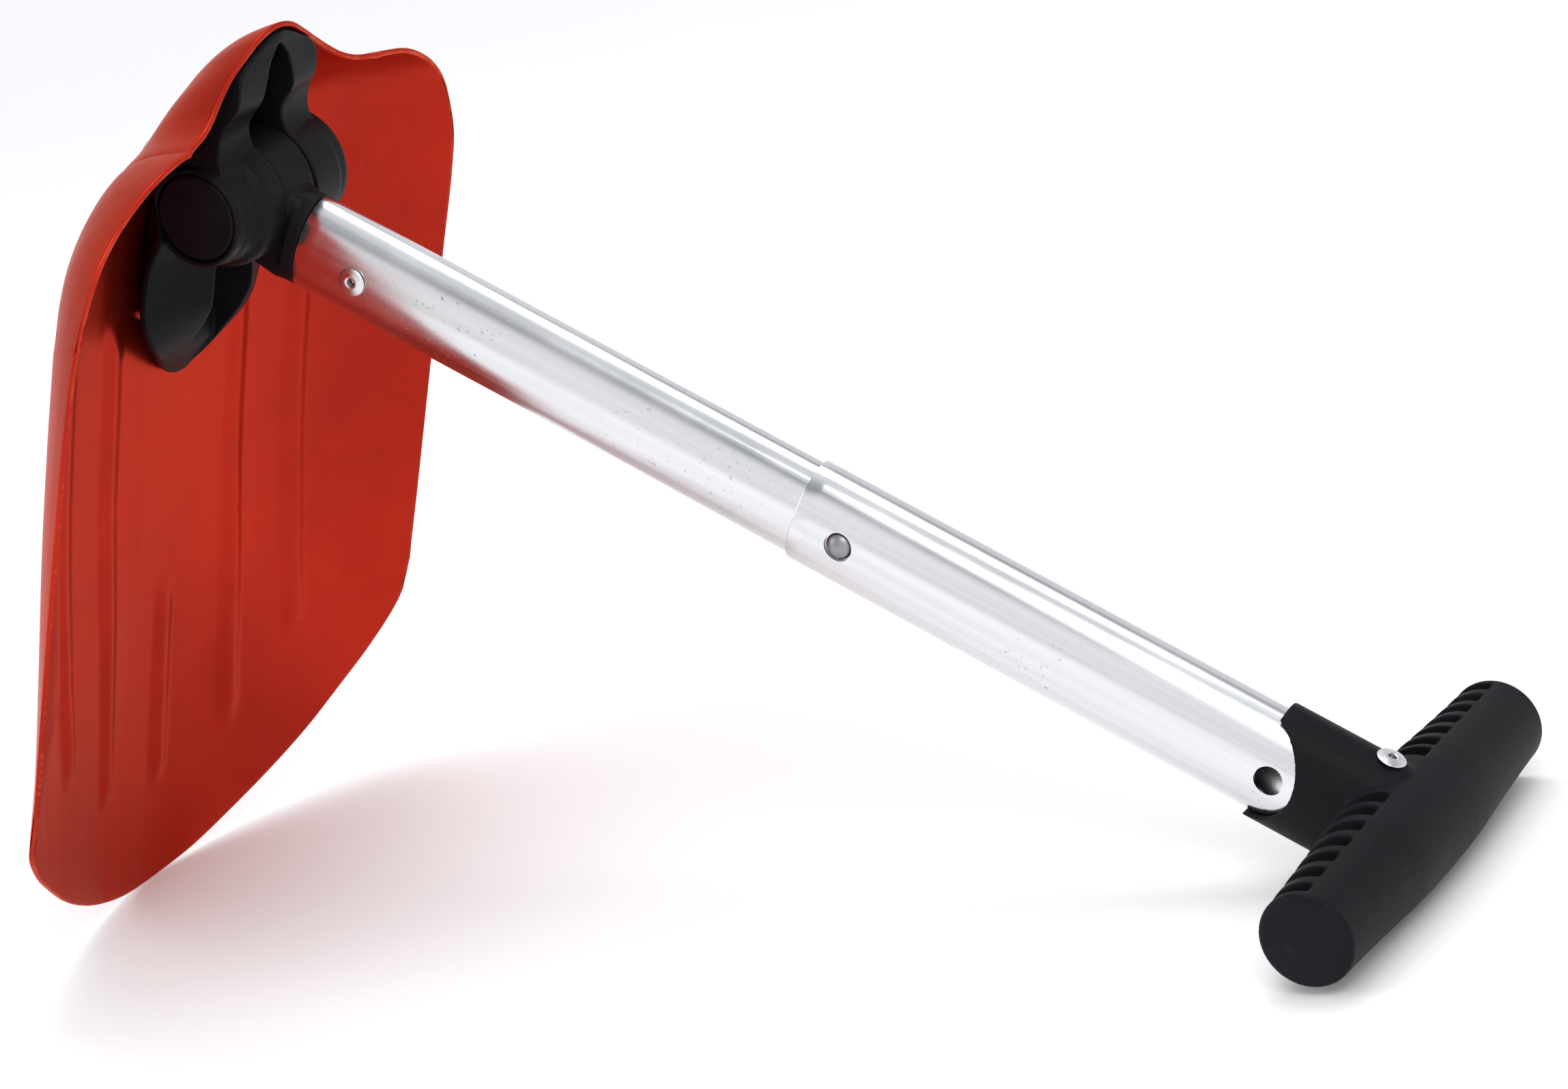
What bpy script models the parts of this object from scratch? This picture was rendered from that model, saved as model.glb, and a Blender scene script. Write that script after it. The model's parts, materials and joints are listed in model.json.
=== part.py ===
"""Avalanche shovel with a fold-out hoe position and a telescopic shaft.

Shaft frame (empty "stand"): the hinge axis is the Y axis through the origin,
+X runs along the tubes towards the grip and +Z is the shaft's upper side.
Blade frame (empty "blade_frame"): the same origin, +X is the blade's inner
side, +Z runs up the blade towards its top edge.
"""
import math

import bmesh
import bpy
import numpy as np
from mathutils import Matrix, Vector

MM = 0.001

# Stance and hinge
BLADE_TILT = math.radians(11.0)        # blade leans this far from square to the shaft
TUBE_DROP = 5.4 * MM                   # tube centre line below the hinge axis
SEAM = 9.0 * MM                        # half width of the middle knuckle
GAP = 0.3 * MM                         # clearance between neighbouring pieces

# Blade: half outline from the top centre to the bottom centre.
# Each point: distance from the middle, height, rim's forward reach, bowl power
BLADE_SHEET = 1.8 * MM
BLADE_FLOOR = -25.0 * MM
BOWL_CENTRE = -100.0 * MM
TOP_EDGE = [(0, 59.4, 8.3, 9.0), (9, 57.4, 8.0, 9.0), (17.5, 52.4, 7.6, 9.4), (24.5, 47.6, 7.4, 10.0),
            (31.7, 42.5, 8.4, 10.4), (38, 38.5, 10.0, 10.6), (45.5, 35.5, 11.5, 10.6),
            (56, 33.5, 12.6, 10.2), (64, 32.2, 13.2, 9.4), (71, 30.7, 13.4, 8.6),
            (78, 28.3, 13.4, 7.8), (85, 24.8, 13.3, 7.1), (92, 20.3, 13.2, 6.4),
            (98, 15.0, 13.1, 5.8), (102.6, 9.2, 13.0, 5.3), (106.4, 1.8, 12.9, 4.9),
            (109.6, -6, 12.9, 4.5), (112, -14, 12.8, 4.3)]
SIDE_EDGE = [(112, -14, 12.8, 4.3), (113.5, -30, 12.1, 4.1), (114.1, -55, 10.8, 4.0),
             (114.6, -100, 9.0, 3.8), (115.0, -148, 7.4, 3.25), (115.1, -184, 6.1, 2.8)]
BOTTOM_EDGE = [(115.1, -184, 6.1, 2.8), (114.5, -195, 4.8, 2.6), (111.4, -205, 2.6, 2.5),
               (101.5, -218.0, -1.0, 2.35), (88.5, -230.6, -5.0, 2.25), (75.5, -242.0, -8.6, 2.2),
               (60, -253.2, -13.0, 2.2), (42, -263.6, -17.6, 2.2), (21, -271.8, -21.2, 2.2),
               (0, -275.0, -23.4, 2.2)]
BLADE_ROWS = 20
ROW_CROWDING = 1.6                     # rows lie closer together towards the top edge
BLADE_COLUMNS = [0, 5, 13, 22, 33, 37, 42, 54, 64, 69, 74, 84, 93, 100, 106, 112]
RIB_HEIGHT = 2.0 * MM
RIB_HALF = 5.0 * MM
RIBS = [(0.0, -150.0, -240.0), (37.5, -38.0, -232.0), (-37.5, -38.0, -232.0),
        (69.0, -24.0, -205.0), (-69.0, -24.0, -205.0)]   # place, upper end, lower end

# Hinge bracket: height, half width, crest beside the slot, outer edge's height
BRACKET = [(58, 3.0, 8.8, 8.6), (56.8, 6.5, 9.0, 8.6), (55.2, 10, 9.2, 8.6), (53, 14.4, 9.2, 8.4),
           (50, 19.8, 9.4, 8.6), (47, 22.3, 9.6, 9.0), (43.4, 23, 9.8, 9.5), (38.5, 23.2, 9.8, 9.3),
           (35, 23.9, 8.6, 8.0), (32, 24.8, 6.8, 6.5), (28, 25.8, 5.2, 5.0), (23.5, 26.6, 5.0, 4.6),
           (16, 28.4, 3.4, 2.0), (4, 31.2, 0.0, -4), (-10, 33.2, -2.4, -10), (-22, 34.2, -3.2, -14),
           (-33, 34.6, -3.2, -15), (-40, 34.4, -3.6, -15), (-46, 32.8, -6.2, -14.6),
           (-52, 29.4, -9.4, -14.4), (-57, 25.0, -12.2, -15.4), (-62, 19.6, -15.0, -17.6),
           (-67, 13.6, -18.0, -20.2), (-70.6, 8.4, -20.8, -21.8), (-72.8, 3.6, -21.8, -22.2)]
SLOT = [(54.4, 0.6), (52.6, 2.3), (49.3, 5.0), (44.4, 6.8), (39, 8.5), (33, 9.3), (27, 9.3), (21, 9.3),
        (15, 9.3), (10, 9.3), (5, 9.3), (1, 9.3), (-17, 9.3), (-22, 10.6), (-28, 11.0), (-50, 11.6),
        (-57, 9.6), (-64, 6.8), (-70.4, 1.4)]
SLOT_FLOOR = -21.4 * MM
BED = 0.8 * MM                         # clearance between the bracket and the bowl behind it
BRACKET_WALL = 1.2 * MM
EAR = 31.4 * MM                        # ear's outer end from the middle
EAR_ROOT = 6.0 * MM
EAR_WEB_NEAR = (-20.5 * MM, -16.0 * MM)
EAR_WEB_FAR = 23.0 * MM
CHAMBER = 15.3 * MM
BRACKET_RIVETS = [(14.0, 22.0), (14.0, -22.0), (-45.0, 21.5), (-45.0, -21.5)]
RIVET_GRIP = 6.5 * MM                  # depth of the rivet's hole in the bracket

# Knuckle, axle and release
BARREL = 21.0 * MM
AXLE = 4.0 * MM
AXLE_BORE = 4.4 * MM
RING_POCKET = 13.9 * MM
RING_POCKET_END = 6.5 * MM
RING_THICK = 9.0 * MM
PRONG_CIRCLE = 9.5 * MM
PRONG = 1.6 * MM
BUTTON = 14.85 * MM
BUTTON_FACE = -30.8 * MM

# Tubes: half width, half height
LOWER_OUT = (10.68 * MM, 16.83 * MM)
LOWER_IN = (9.2 * MM, 15.35 * MM)
UPPER_OUT = (11.94 * MM, 18.09 * MM)
UPPER_IN = (10.94 * MM, 17.09 * MM)
TUBE_START = 27.6 * MM
LOWER_END = 256.0 * MM
UPPER_START = 220.4 * MM
UPPER_END = 430.0 * MM
SNAP_PLACE = 237.8 * MM
TRAVEL = 155.4 * MM
LOWER_RIVET = 50.5 * MM
OVAL_SEGMENTS = 32

# Grip: bar (distance from the middle, radius), socket and finger pockets
GRIP_PLACE = 435.7 * MM
GRIP_LIFT = 1.5 * MM
GRIP_BAR = [(0, 18.5), (14, 18.4), (26, 18.0), (38, 17.2), (52, 16.4), (66, 15.7), (78, 15.2),
            (80.6, 14.7), (81.5, 13.6)]
GRIP_RIVET = 423.4 * MM
SOCKET_WALL = 2.5 * MM
SOCKET_LIP = 388.5 * MM
SOCKET_THROAT = 402.0 * MM
SOCKET_SCALLOP = 18.6 * MM
POCKETS = [(15.0, 11.0), (26.0, 5.4), (35.9, 5.4), (45.8, 5.4), (55.6, 5.4), (65.5, 5.4), (75.3, 5.0)]


# ---------------------------------------------------------------- helpers
def material(name, colour, roughness, metallic):
    made = bpy.data.materials.new(name)
    made.use_nodes = True
    shader = made.node_tree.nodes["Principled BSDF"]
    shader.inputs["Base Color"].default_value = (*colour, 1.0)
    shader.inputs["Roughness"].default_value = roughness
    shader.inputs["Metallic"].default_value = metallic
    return made


def empty(name, parent=None):
    made = bpy.data.objects.new(name, None)
    bpy.context.scene.collection.objects.link(made)
    made.parent = parent
    return made


def smooth(obj, degrees=35.0):
    obj.data.shade_smooth()
    obj.data.set_sharp_from_angle(angle=math.radians(degrees))


def make(name, points, faces, finish=None, parent=None, flat=False):
    mesh = bpy.data.meshes.new(name)
    mesh.from_pydata([tuple(p) for p in points], [], faces)
    tidy = bmesh.new()
    tidy.from_mesh(mesh)
    bmesh.ops.remove_doubles(tidy, verts=tidy.verts, dist=0.00001)
    bmesh.ops.recalc_face_normals(tidy, faces=tidy.faces)
    if flat:
        bmesh.ops.triangulate(tidy, faces=tidy.faces)
    tidy.to_mesh(mesh)
    tidy.free()
    obj = bpy.data.objects.new(name, mesh)
    bpy.context.scene.collection.objects.link(obj)
    obj.parent = parent
    if finish:
        mesh.materials.append(finish)
        smooth(obj)
    return obj


def loft(rings, closed=False):
    """Points and faces of a skin over equal rings, capped unless it closes on itself."""
    count = len(rings[0])
    points = [p for ring in rings for p in ring]
    faces = []
    spans = len(rings) if closed else len(rings) - 1
    for i in range(spans):
        a = i * count
        b = ((i + 1) % len(rings)) * count
        for j in range(count):
            k = (j + 1) % count
            faces.append((a + j, a + k, b + k, b + j))
    if not closed:
        faces.append(tuple(reversed(range(count))))
        faces.append(tuple(range(len(points) - count, len(points))))
    return points, faces


def oval(x, half_y, half_z, centre_z=0.0, power=2.0, segments=OVAL_SEGMENTS):
    """Ring across X. Power 2 is an ellipse, a larger power squares its corners."""
    ring = []
    for i in range(segments):
        angle = 2 * math.pi * i / segments
        c = math.cos(angle)
        s = math.sin(angle)
        y = half_y * math.copysign(abs(c) ** (2 / power), c)
        z = half_z * math.copysign(abs(s) ** (2 / power), s)
        ring.append((x, y, centre_z + z))
    return ring


def turned(name, profile, finish=None, parent=None, segments=32, closed=False):
    """Body of revolution about Y. Profile points are (radius, y)."""
    rings = []
    for radius, y in profile:
        ring = []
        for i in range(segments):
            angle = 2 * math.pi * i / segments
            ring.append((radius * math.cos(angle), y, radius * math.sin(angle)))
        rings.append(ring)
    points, faces = loft(rings, closed)
    return make(name, points, faces, finish, parent)


def rod(name, radius, start, end, segments=24):
    """Plain cylinder between two points."""
    start = Vector(start)
    end = Vector(end)
    turn = Vector((0, 0, 1)).rotation_difference(end - start).to_matrix()
    rings = []
    for place in (start, end):
        ring = []
        for i in range(segments):
            angle = 2 * math.pi * (i + 0.37) / segments
            ring.append(place + turn @ Vector((radius * math.cos(angle), radius * math.sin(angle), 0)))
        rings.append(ring)
    points, faces = loft(rings)
    return make(name, points, faces)


def block(low, high):
    """Plain box between two corners."""
    rings = []
    for x in (low[0], high[0]):
        rings.append([(x, low[1], low[2]), (x, high[1], low[2]), (x, high[1], high[2]), (x, low[1], high[2])])
    points, faces = loft(rings)
    return make("block", points, faces)


def carve(obj, tool, operation="DIFFERENCE"):
    """Apply a Boolean with the tool object and remove the tool."""
    tool.parent = obj.parent
    modifier = obj.modifiers.new("carve", "BOOLEAN")
    modifier.object = tool
    modifier.operation = operation
    modifier.solver = "EXACT"
    bpy.context.view_layer.update()
    graph = bpy.context.evaluated_depsgraph_get()
    mesh = bpy.data.meshes.new_from_object(obj.evaluated_get(graph), depsgraph=graph)
    obj.modifiers.remove(modifier)
    tidy = bmesh.new()
    tidy.from_mesh(mesh)
    bmesh.ops.remove_doubles(tidy, verts=tidy.verts, dist=0.000001)
    bmesh.ops.dissolve_degenerate(tidy, dist=0.000001, edges=tidy.edges)
    tidy.to_mesh(mesh)
    tidy.free()
    obj.data = mesh
    bpy.data.objects.remove(tool)
    return obj


def spread(table, steps=8):
    """Smooth curve through the table's rows (Catmull-Rom), in metres except the last column."""
    rows = np.array(table, float)
    padded = np.vstack([2 * rows[0] - rows[1], rows, 2 * rows[-1] - rows[-2]])
    out = []
    for i in range(1, len(padded) - 2):
        p0, p1, p2, p3 = padded[i - 1:i + 3]
        for t in np.arange(steps) / steps:
            out.append(0.5 * (2 * p1 + (p2 - p0) * t + (2 * p0 - 5 * p1 + 4 * p2 - p3) * t * t
                              + (3 * p1 - p0 - 3 * p2 + p3) * t ** 3))
    out.append(rows[-1])
    out = np.array(out)
    out[:, :3] *= MM
    return out


# ---------------------------------------------------------------- blade
TOP_CURVE = spread([(-9, 57.4, 8.0, 9.0)] + TOP_EDGE)[8:]
SIDE_CURVE = spread(SIDE_EDGE)
BOTTOM_CURVE = spread(BOTTOM_EDGE + [(-21, -271.8, -21.2, 2.2)])[:-8]
RIM = np.vstack([TOP_CURVE, SIDE_CURVE[1:], BOTTOM_CURVE[1:]])
RIM_ANGLE = np.arctan2(RIM[:, 0], RIM[:, 1] - BOWL_CENTRE)
RIM_REACH = np.hypot(RIM[:, 0], RIM[:, 1] - BOWL_CENTRE)


def bowl(y, z):
    """Forward place of the blade's inner surface, without ribs."""
    angle = math.atan2(abs(y), z - BOWL_CENTRE)
    reach = np.interp(angle, RIM_ANGLE, RIM_REACH)
    rise = np.interp(angle, RIM_ANGLE, RIM[:, 2]) - BLADE_FLOOR
    power = np.interp(angle, RIM_ANGLE, RIM[:, 3])
    fraction = math.hypot(y, z - BOWL_CENTRE) / reach
    return BLADE_FLOOR + rise * fraction ** power


def bowl_seat(y, z):
    """Point of the bowl and the direction square to it, towards the inner side."""
    step = 1.0 * MM
    slope_y = (bowl(y + step, z) - bowl(y - step, z)) / (2 * step)
    slope_z = (bowl(y, z + step) - bowl(y, z - step)) / (2 * step)
    return Vector((bowl(y, z), y, z)), Vector((1, -slope_y, -slope_z)).normalized()


def ribs(y, z):
    """Height of the pressed ribs above the bowl."""
    height = 0.0
    for place, upper, lower in RIBS:
        across = min(1.0, abs(y - place * MM) / RIB_HALF)
        along = min(upper * MM - z, z - lower * MM) / (2 * RIB_HALF)
        along = max(0.0, min(1.0, along))
        height += RIB_HEIGHT * math.cos(across * math.pi / 2) ** 2 * along * along * (3 - 2 * along)
    return height


def along_curve(curve, fraction_of_width):
    """Point of an edge curve at a fraction of its half width."""
    ends = sorted((curve[0, 0], curve[-1, 0]))
    y = ends[0] + (ends[1] - ends[0]) * fraction_of_width
    order = np.argsort(curve[:, 0])
    return np.array([y, np.interp(y, curve[order, 0], curve[order, 1])])


def blade_point(a, b):
    """Place (y, z) on the half blade: a from the middle to the side, b from top to bottom."""
    top = along_curve(TOP_CURVE, a)
    bottom = along_curve(BOTTOM_CURVE, a)
    steps = np.linspace(0, 1, len(SIDE_CURVE))
    side = np.array([np.interp(b, steps, SIDE_CURVE[:, 0]), np.interp(b, steps, SIDE_CURVE[:, 1])])
    straight = (1 - b) * SIDE_CURVE[0, :2] + b * SIDE_CURVE[-1, :2]
    return (1 - b) * top + b * bottom + a * (side - straight)


def blade(parent, finish):
    widths = [w / BLADE_COLUMNS[-1] for w in BLADE_COLUMNS]
    columns = [-w for w in reversed(widths[1:])] + widths
    points = []
    for row in range(BLADE_ROWS + 1):
        b = (row / BLADE_ROWS) ** ROW_CROWDING
        for a in columns:
            y, z = blade_point(abs(a), b)
            y = math.copysign(y, a)
            points.append((bowl(y, z) + ribs(y, z), y, z))
    count = len(columns)
    faces = []
    for row in range(BLADE_ROWS):
        for column in range(count - 1):
            k = row * count + column
            faces.append((k, k + count, k + count + 1, k + 1))
    obj = make("blade", points, faces, finish, parent)
    normals = sum((face.normal for face in obj.data.polygons), Vector())
    if normals.x < 0:
        obj.data.flip_normals()
    sheet = obj.modifiers.new("sheet", "SOLIDIFY")
    sheet.thickness = BLADE_SHEET
    sheet.offset = -1.0
    sheet.use_even_offset = False
    bpy.context.view_layer.update()
    graph = bpy.context.evaluated_depsgraph_get()
    solid = bpy.data.meshes.new_from_object(obj.evaluated_get(graph), depsgraph=graph)
    obj.modifiers.remove(sheet)
    obj.data = solid
    for height, y in BRACKET_RIVETS:
        place, normal = bowl_seat(y * MM, height * MM)
        carve(obj, rod("hole", 2.6 * MM, place - normal * 10 * MM, place + normal * 6 * MM, 12))
    smooth(obj, 40)
    return obj


# ---------------------------------------------------------------- bracket
def slab(name, rows, low, high, columns, finish=None, parent=None):
    """Closed solid over rows (height, half width), between two surfaces low and high."""
    lines_low = []
    lines_high = []
    for z, half in rows:
        ys = [half * t for t in columns]
        lines_low.append([(low(y, z), y, z) for y in ys])
        lines_high.append([(high(y, z, half), y, z) for y in ys])
    rings = [list(a) + list(reversed(b)) for a, b in zip(lines_low, lines_high)]
    points, faces = loft(rings)
    count = len(rings[0])
    half_count = len(columns)
    faces = faces[:-2]
    for start in (0, len(points) - count):
        for j in range(half_count - 1):
            k = count - 1 - j
            faces.append((start + j, start + j + 1, start + k - 1, start + k))
    return make(name, points, faces, finish, parent, flat=True)


def slot_half(z):
    table = np.array(SLOT)[::-1] * MM
    return float(np.interp(z, table[:, 0], table[:, 1]))


def bracket_face(y, z, half):
    """Front of the bracket: a crest beside the slot that falls to the outer edge."""
    table = np.array(BRACKET)[::-1] * MM
    crest = np.interp(z, table[:, 0], table[:, 2])
    outer = np.interp(z, table[:, 0], table[:, 3])
    inner = min(slot_half(z), 0.8 * half)
    t = max(0.0, min(1.0, (abs(y) - inner) / (half - inner)))
    return crest + (outer - crest) * t


def slot_floor(y, z):
    return max(SLOT_FLOOR, bowl(0.0, z) + BED + BRACKET_WALL) if z > 0 else SLOT_FLOOR


def bracket(parent, finish):
    rows = [(row[0] * MM, row[1] * MM) for row in BRACKET]
    columns = [-1, -0.8, -0.55, -0.3, 0, 0.3, 0.55, 0.8, 1]
    obj = slab("hinge_bracket", rows, lambda y, z: bowl(y, z) + BED, bracket_face, columns, finish, parent)
    near = [(8 * MM, -EAR_ROOT), (21.4 * MM, -EAR_ROOT), (21.3 * MM, -14 * MM), (18.6 * MM, -20 * MM),
            (18.0 * MM, -26 * MM), (17.2 * MM, -30 * MM), (16.4 * MM, -EAR), (8 * MM, -EAR)]
    far = [(8 * MM, EAR_ROOT), (21.4 * MM, EAR_ROOT), (21.2 * MM, 14 * MM), (20.4 * MM, 21 * MM),
           (20.1 * MM, 27 * MM), (19.7 * MM, 30 * MM), (18.6 * MM, EAR), (8 * MM, EAR)]
    for profile in (near, far):
        ear = turned("ear", profile, segments=32)
        carve(ear, block((-30 * MM, -40 * MM, -30 * MM), (-13 * MM, 40 * MM, 30 * MM)))
        carve(obj, ear, "UNION")
    slot_rows = [(z * MM, half * MM) for z, half in SLOT]
    carve(obj, slab("slot", slot_rows, slot_floor, lambda y, z, half: 60 * MM, [-1, 0, 1]))
    hollow = [(CHAMBER, -40 * MM), (CHAMBER, EAR_WEB_NEAR[0]), (AXLE_BORE, EAR_WEB_NEAR[0]),
              (AXLE_BORE, EAR_WEB_NEAR[1]), (CHAMBER - MM, EAR_WEB_NEAR[1]), (CHAMBER - MM, 0.0),
              (AXLE_BORE, 0.0), (AXLE_BORE, EAR_WEB_FAR), (CHAMBER, EAR_WEB_FAR), (CHAMBER, 40 * MM)]
    tool = turned("hollow", hollow, segments=28)
    tool.data.transform(Matrix.Rotation(math.radians(2), 4, "Y"))
    carve(obj, tool)
    for x, z in prong_places():
        carve(obj, rod("prong_hole", PRONG + GAP, (x, -24 * MM, z), (x, -12 * MM, z), 10))
    for height, y in BRACKET_RIVETS:
        place, normal = bowl_seat(y * MM, height * MM)
        carve(obj, rod("hole", 2.6 * MM, place - normal * 10 * MM, place + normal * RIVET_GRIP, 12))
    smooth(obj, 30)
    return obj


def prong_places():
    angles = [math.radians(90 + 120 * i) for i in range(3)]
    return [(PRONG_CIRCLE * math.cos(a), PRONG_CIRCLE * math.sin(a)) for a in angles]


def bracket_rivets(parent, finish):
    """Rivets from behind the sheet into the bracket."""
    seat = -BLADE_SHEET - GAP
    tip = RIVET_GRIP - 0.8 * MM
    profile = [(0.4 * MM, seat - 1.6 * MM), (3.2 * MM, seat - 1.4 * MM), (4.6 * MM, seat - 0.5 * MM),
               (4.8 * MM, seat), (2.3 * MM, seat), (2.3 * MM, tip), (0.4 * MM, tip)]
    for number, (height, y) in enumerate(BRACKET_RIVETS, 1):
        place, normal = bowl_seat(y * MM, height * MM)
        obj = turned(f"bracket_rivet_{number}", profile, finish, parent, 14)
        obj.data.transform(Vector((0, 1, 0)).rotation_difference(normal).to_matrix().to_4x4())
        obj.location = place


# ---------------------------------------------------------------- hinge inside
def knuckle(parent, finish):
    barrel = [(2 * MM, -SEAM), (BARREL - 0.6 * MM, -SEAM), (BARREL, -SEAM + 0.6 * MM),
              (BARREL, SEAM - 0.6 * MM), (BARREL - 0.6 * MM, SEAM), (2 * MM, SEAM)]
    obj = turned("hinge_knuckle", barrel, finish, parent)
    drop = -TUBE_DROP
    neck = [oval(3 * MM, 8.7 * MM, 15.8 * MM, -2.5 * MM, 5.0), oval(14 * MM, 8.7 * MM, 16.0 * MM, -4.4 * MM, 4.5),
            oval(21.2 * MM, 8.7 * MM, 16.4 * MM, drop, 3.6), oval(22.6 * MM, 9.8 * MM, 16.6 * MM, drop, 2.6),
            oval(24.0 * MM, *LOWER_OUT, drop), oval(27.3 * MM, *LOWER_OUT, drop)]
    neck += [oval(27.3 * MM, LOWER_IN[0] - GAP, LOWER_IN[1] - GAP, drop),
             oval(61.0 * MM, LOWER_IN[0] - GAP, LOWER_IN[1] - GAP, drop)]
    points, faces = loft(neck)
    carve(obj, make("neck", points, faces), "UNION")
    carve(obj, rod("pocket", RING_POCKET, (0, -20 * MM, 0), (0, RING_POCKET_END, 0), 28))
    carve(obj, rod("bore", AXLE_BORE, (0, -20 * MM, 0), (0, 20 * MM, 0), 20))
    carve(obj, rod("rivet_bore", 2.6 * MM, (LOWER_RIVET, -20 * MM, drop), (LOWER_RIVET, 20 * MM, drop), 12))
    smooth(obj, 30)
    return obj


def axle(parent, steel):
    turned("hinge_axle", [(0.4 * MM, -24.4 * MM), (AXLE - 0.5 * MM, -24.4 * MM), (AXLE, -23.9 * MM),
                          (AXLE, 24.6 * MM), (7.0 * MM, 24.6 * MM), (7.4 * MM, 25.0 * MM), (7.4 * MM, 26.8 * MM),
                          (6.4 * MM, 27.8 * MM), (0.4 * MM, 28.0 * MM)], steel, parent, 20)
    turned("axle_washer", [(AXLE + GAP, 23.3 * MM), (9.0 * MM, 23.3 * MM), (9.0 * MM, 24.3 * MM),
                           (AXLE + GAP, 24.3 * MM)], steel, parent, 20, closed=True)
    nut = turned("axle_nut", [(6.6 * MM, -24.1 * MM), (7.3 * MM, -23.5 * MM), (7.3 * MM, -21.4 * MM),
                              (6.6 * MM, -20.8 * MM)], steel, parent, 6)
    carve(nut, rod("bore", AXLE + GAP, (0, -40 * MM, 0), (0, 0, 0), 20))
    smooth(nut, 30)


def release_button(parent, finish):
    face = BUTTON_FACE
    profile = [(0.4 * MM, face + 0.25 * MM), (BUTTON - 2.4 * MM, face + 0.1 * MM), (BUTTON - 0.8 * MM, face),
               (BUTTON - 0.2 * MM, face + 0.35 * MM), (BUTTON, face + 1.0 * MM), (BUTTON, face + 4.8 * MM),
               (BUTTON - 1.8 * MM, face + 4.8 * MM), (BUTTON - 1.8 * MM, face + 2.4 * MM), (0.4 * MM, face + 2.4 * MM)]
    obj = turned("release_button", profile, finish, parent)
    for x, z in prong_places():
        carve(obj, rod("prong", PRONG, (x, face + 1.6 * MM, z), (x, -14.5 * MM, z), 10), "UNION")
    smooth(obj, 30)


def lock_ring(parent, steel):
    """Toothed ring that slides in the knuckle's pocket."""
    teeth = 12
    near = -14.0 * MM
    rings = []
    for y in (near, near + RING_THICK):
        ring = []
        for i in range(teeth * 4):
            radius = 13.4 * MM if i % 4 in (0, 1) else 12.2 * MM
            angle = 2 * math.pi * (i + 0.5) / (teeth * 4)
            ring.append((radius * math.cos(angle), y, radius * math.sin(angle)))
        rings.append(ring)
    points, faces = loft(rings)
    obj = make("lock_ring", points, faces, steel, parent)
    carve(obj, rod("bore", AXLE + 0.6 * MM, (0, -40 * MM, 0), (0, 40 * MM, 0), 24))
    smooth(obj, 25)


def coil_spring(parent, steel):
    """Compression spring between the ring and the pocket's floor."""
    wire = 0.7 * MM
    coil = 10.4 * MM
    turns = 2.5
    start = -14.0 * MM + RING_THICK + GAP + wire
    end = RING_POCKET_END - GAP - wire
    sides = 5
    steps = int(turns * 14)
    rings = []
    for i in range(steps + 1):
        t = i / steps
        angle = 2 * math.pi * turns * t
        centre = Vector((coil * math.cos(angle), start + (end - start) * t, coil * math.sin(angle)))
        outward = Vector((math.cos(angle), 0, math.sin(angle)))
        ring = []
        for j in range(sides):
            around = 2 * math.pi * j / sides
            ring.append(centre + outward * wire * math.cos(around) + Vector((0, wire * math.sin(around), 0)))
        rings.append(ring)
    points, faces = loft(rings)
    make("button_spring", points, faces, steel, parent)


def end_cap(parent, finish):
    turned("hinge_end_cap", [(0.4 * MM, 28.6 * MM), (BUTTON, 28.6 * MM), (BUTTON, 30.4 * MM),
                             (BUTTON - 0.8 * MM, 31.1 * MM), (0.4 * MM, 30.9 * MM)], finish, parent)


# ---------------------------------------------------------------- tubes
def tube(name, start, end, outer, inner, finish, parent):
    rings = [oval(start, *outer), oval(end, *outer), oval(end, *inner), oval(start, *inner)]
    points, faces = loft(rings, closed=True)
    return make(name, points, faces, finish, parent)


def side_hole(obj, x, radius, reach=30 * MM):
    """Hole through the near wall, or through both walls when reach is doubled."""
    carve(obj, rod("hole", radius, (x, -30 * MM, 0), (x, -30 * MM + reach, 0), 20))


def lower_tube(parent, finish):
    obj = tube("lower_tube", TUBE_START, LOWER_END, LOWER_OUT, LOWER_IN, finish, parent)
    side_hole(obj, LOWER_RIVET, 2.6 * MM, 60 * MM)
    side_hole(obj, SNAP_PLACE, 4.55 * MM)
    smooth(obj)


def upper_tube(parent, finish):
    obj = tube("upper_tube", UPPER_START, UPPER_END, UPPER_OUT, UPPER_IN, finish, parent)
    side_hole(obj, SNAP_PLACE, 4.85 * MM)
    side_hole(obj, SNAP_PLACE + TRAVEL, 4.85 * MM)
    carve(obj, rod("hole", 2.6 * MM, (GRIP_RIVET, 0, -30 * MM), (GRIP_RIVET, 0, 30 * MM), 20))
    smooth(obj)


def blind_rivet(name, length, finish, parent):
    """Blind rivet along +Z: a domed head with the mandrel's hole, and a shank below."""
    head = 4.75 * MM
    profile = [(1.3 * MM, 0.35 * MM), (1.5 * MM, 1.0 * MM), (2.6 * MM, 0.95 * MM), (head - 0.9 * MM, 0.7 * MM),
               (head, 0.25 * MM), (head, 0.0), (2.3 * MM, 0.0), (2.3 * MM, -length),
               (1.6 * MM, -length - 0.5 * MM), (0.4 * MM, -length - 0.5 * MM)]
    obj = turned(name, profile, finish, parent, 14)
    obj.data.transform(Matrix.Rotation(math.radians(90), 4, "X"))
    return obj


def lower_rivets(parent, finish):
    near = blind_rivet("lower_tube_rivet_near", 6.4 * MM, finish, parent)
    near.location = (LOWER_RIVET, -LOWER_OUT[0] - GAP, 0)
    near.rotation_euler.x = math.radians(90)
    far = blind_rivet("lower_tube_rivet_far", 6.4 * MM, finish, parent)
    far.location = (LOWER_RIVET, LOWER_OUT[0] + GAP, 0)
    far.rotation_euler.x = math.radians(-90)


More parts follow.
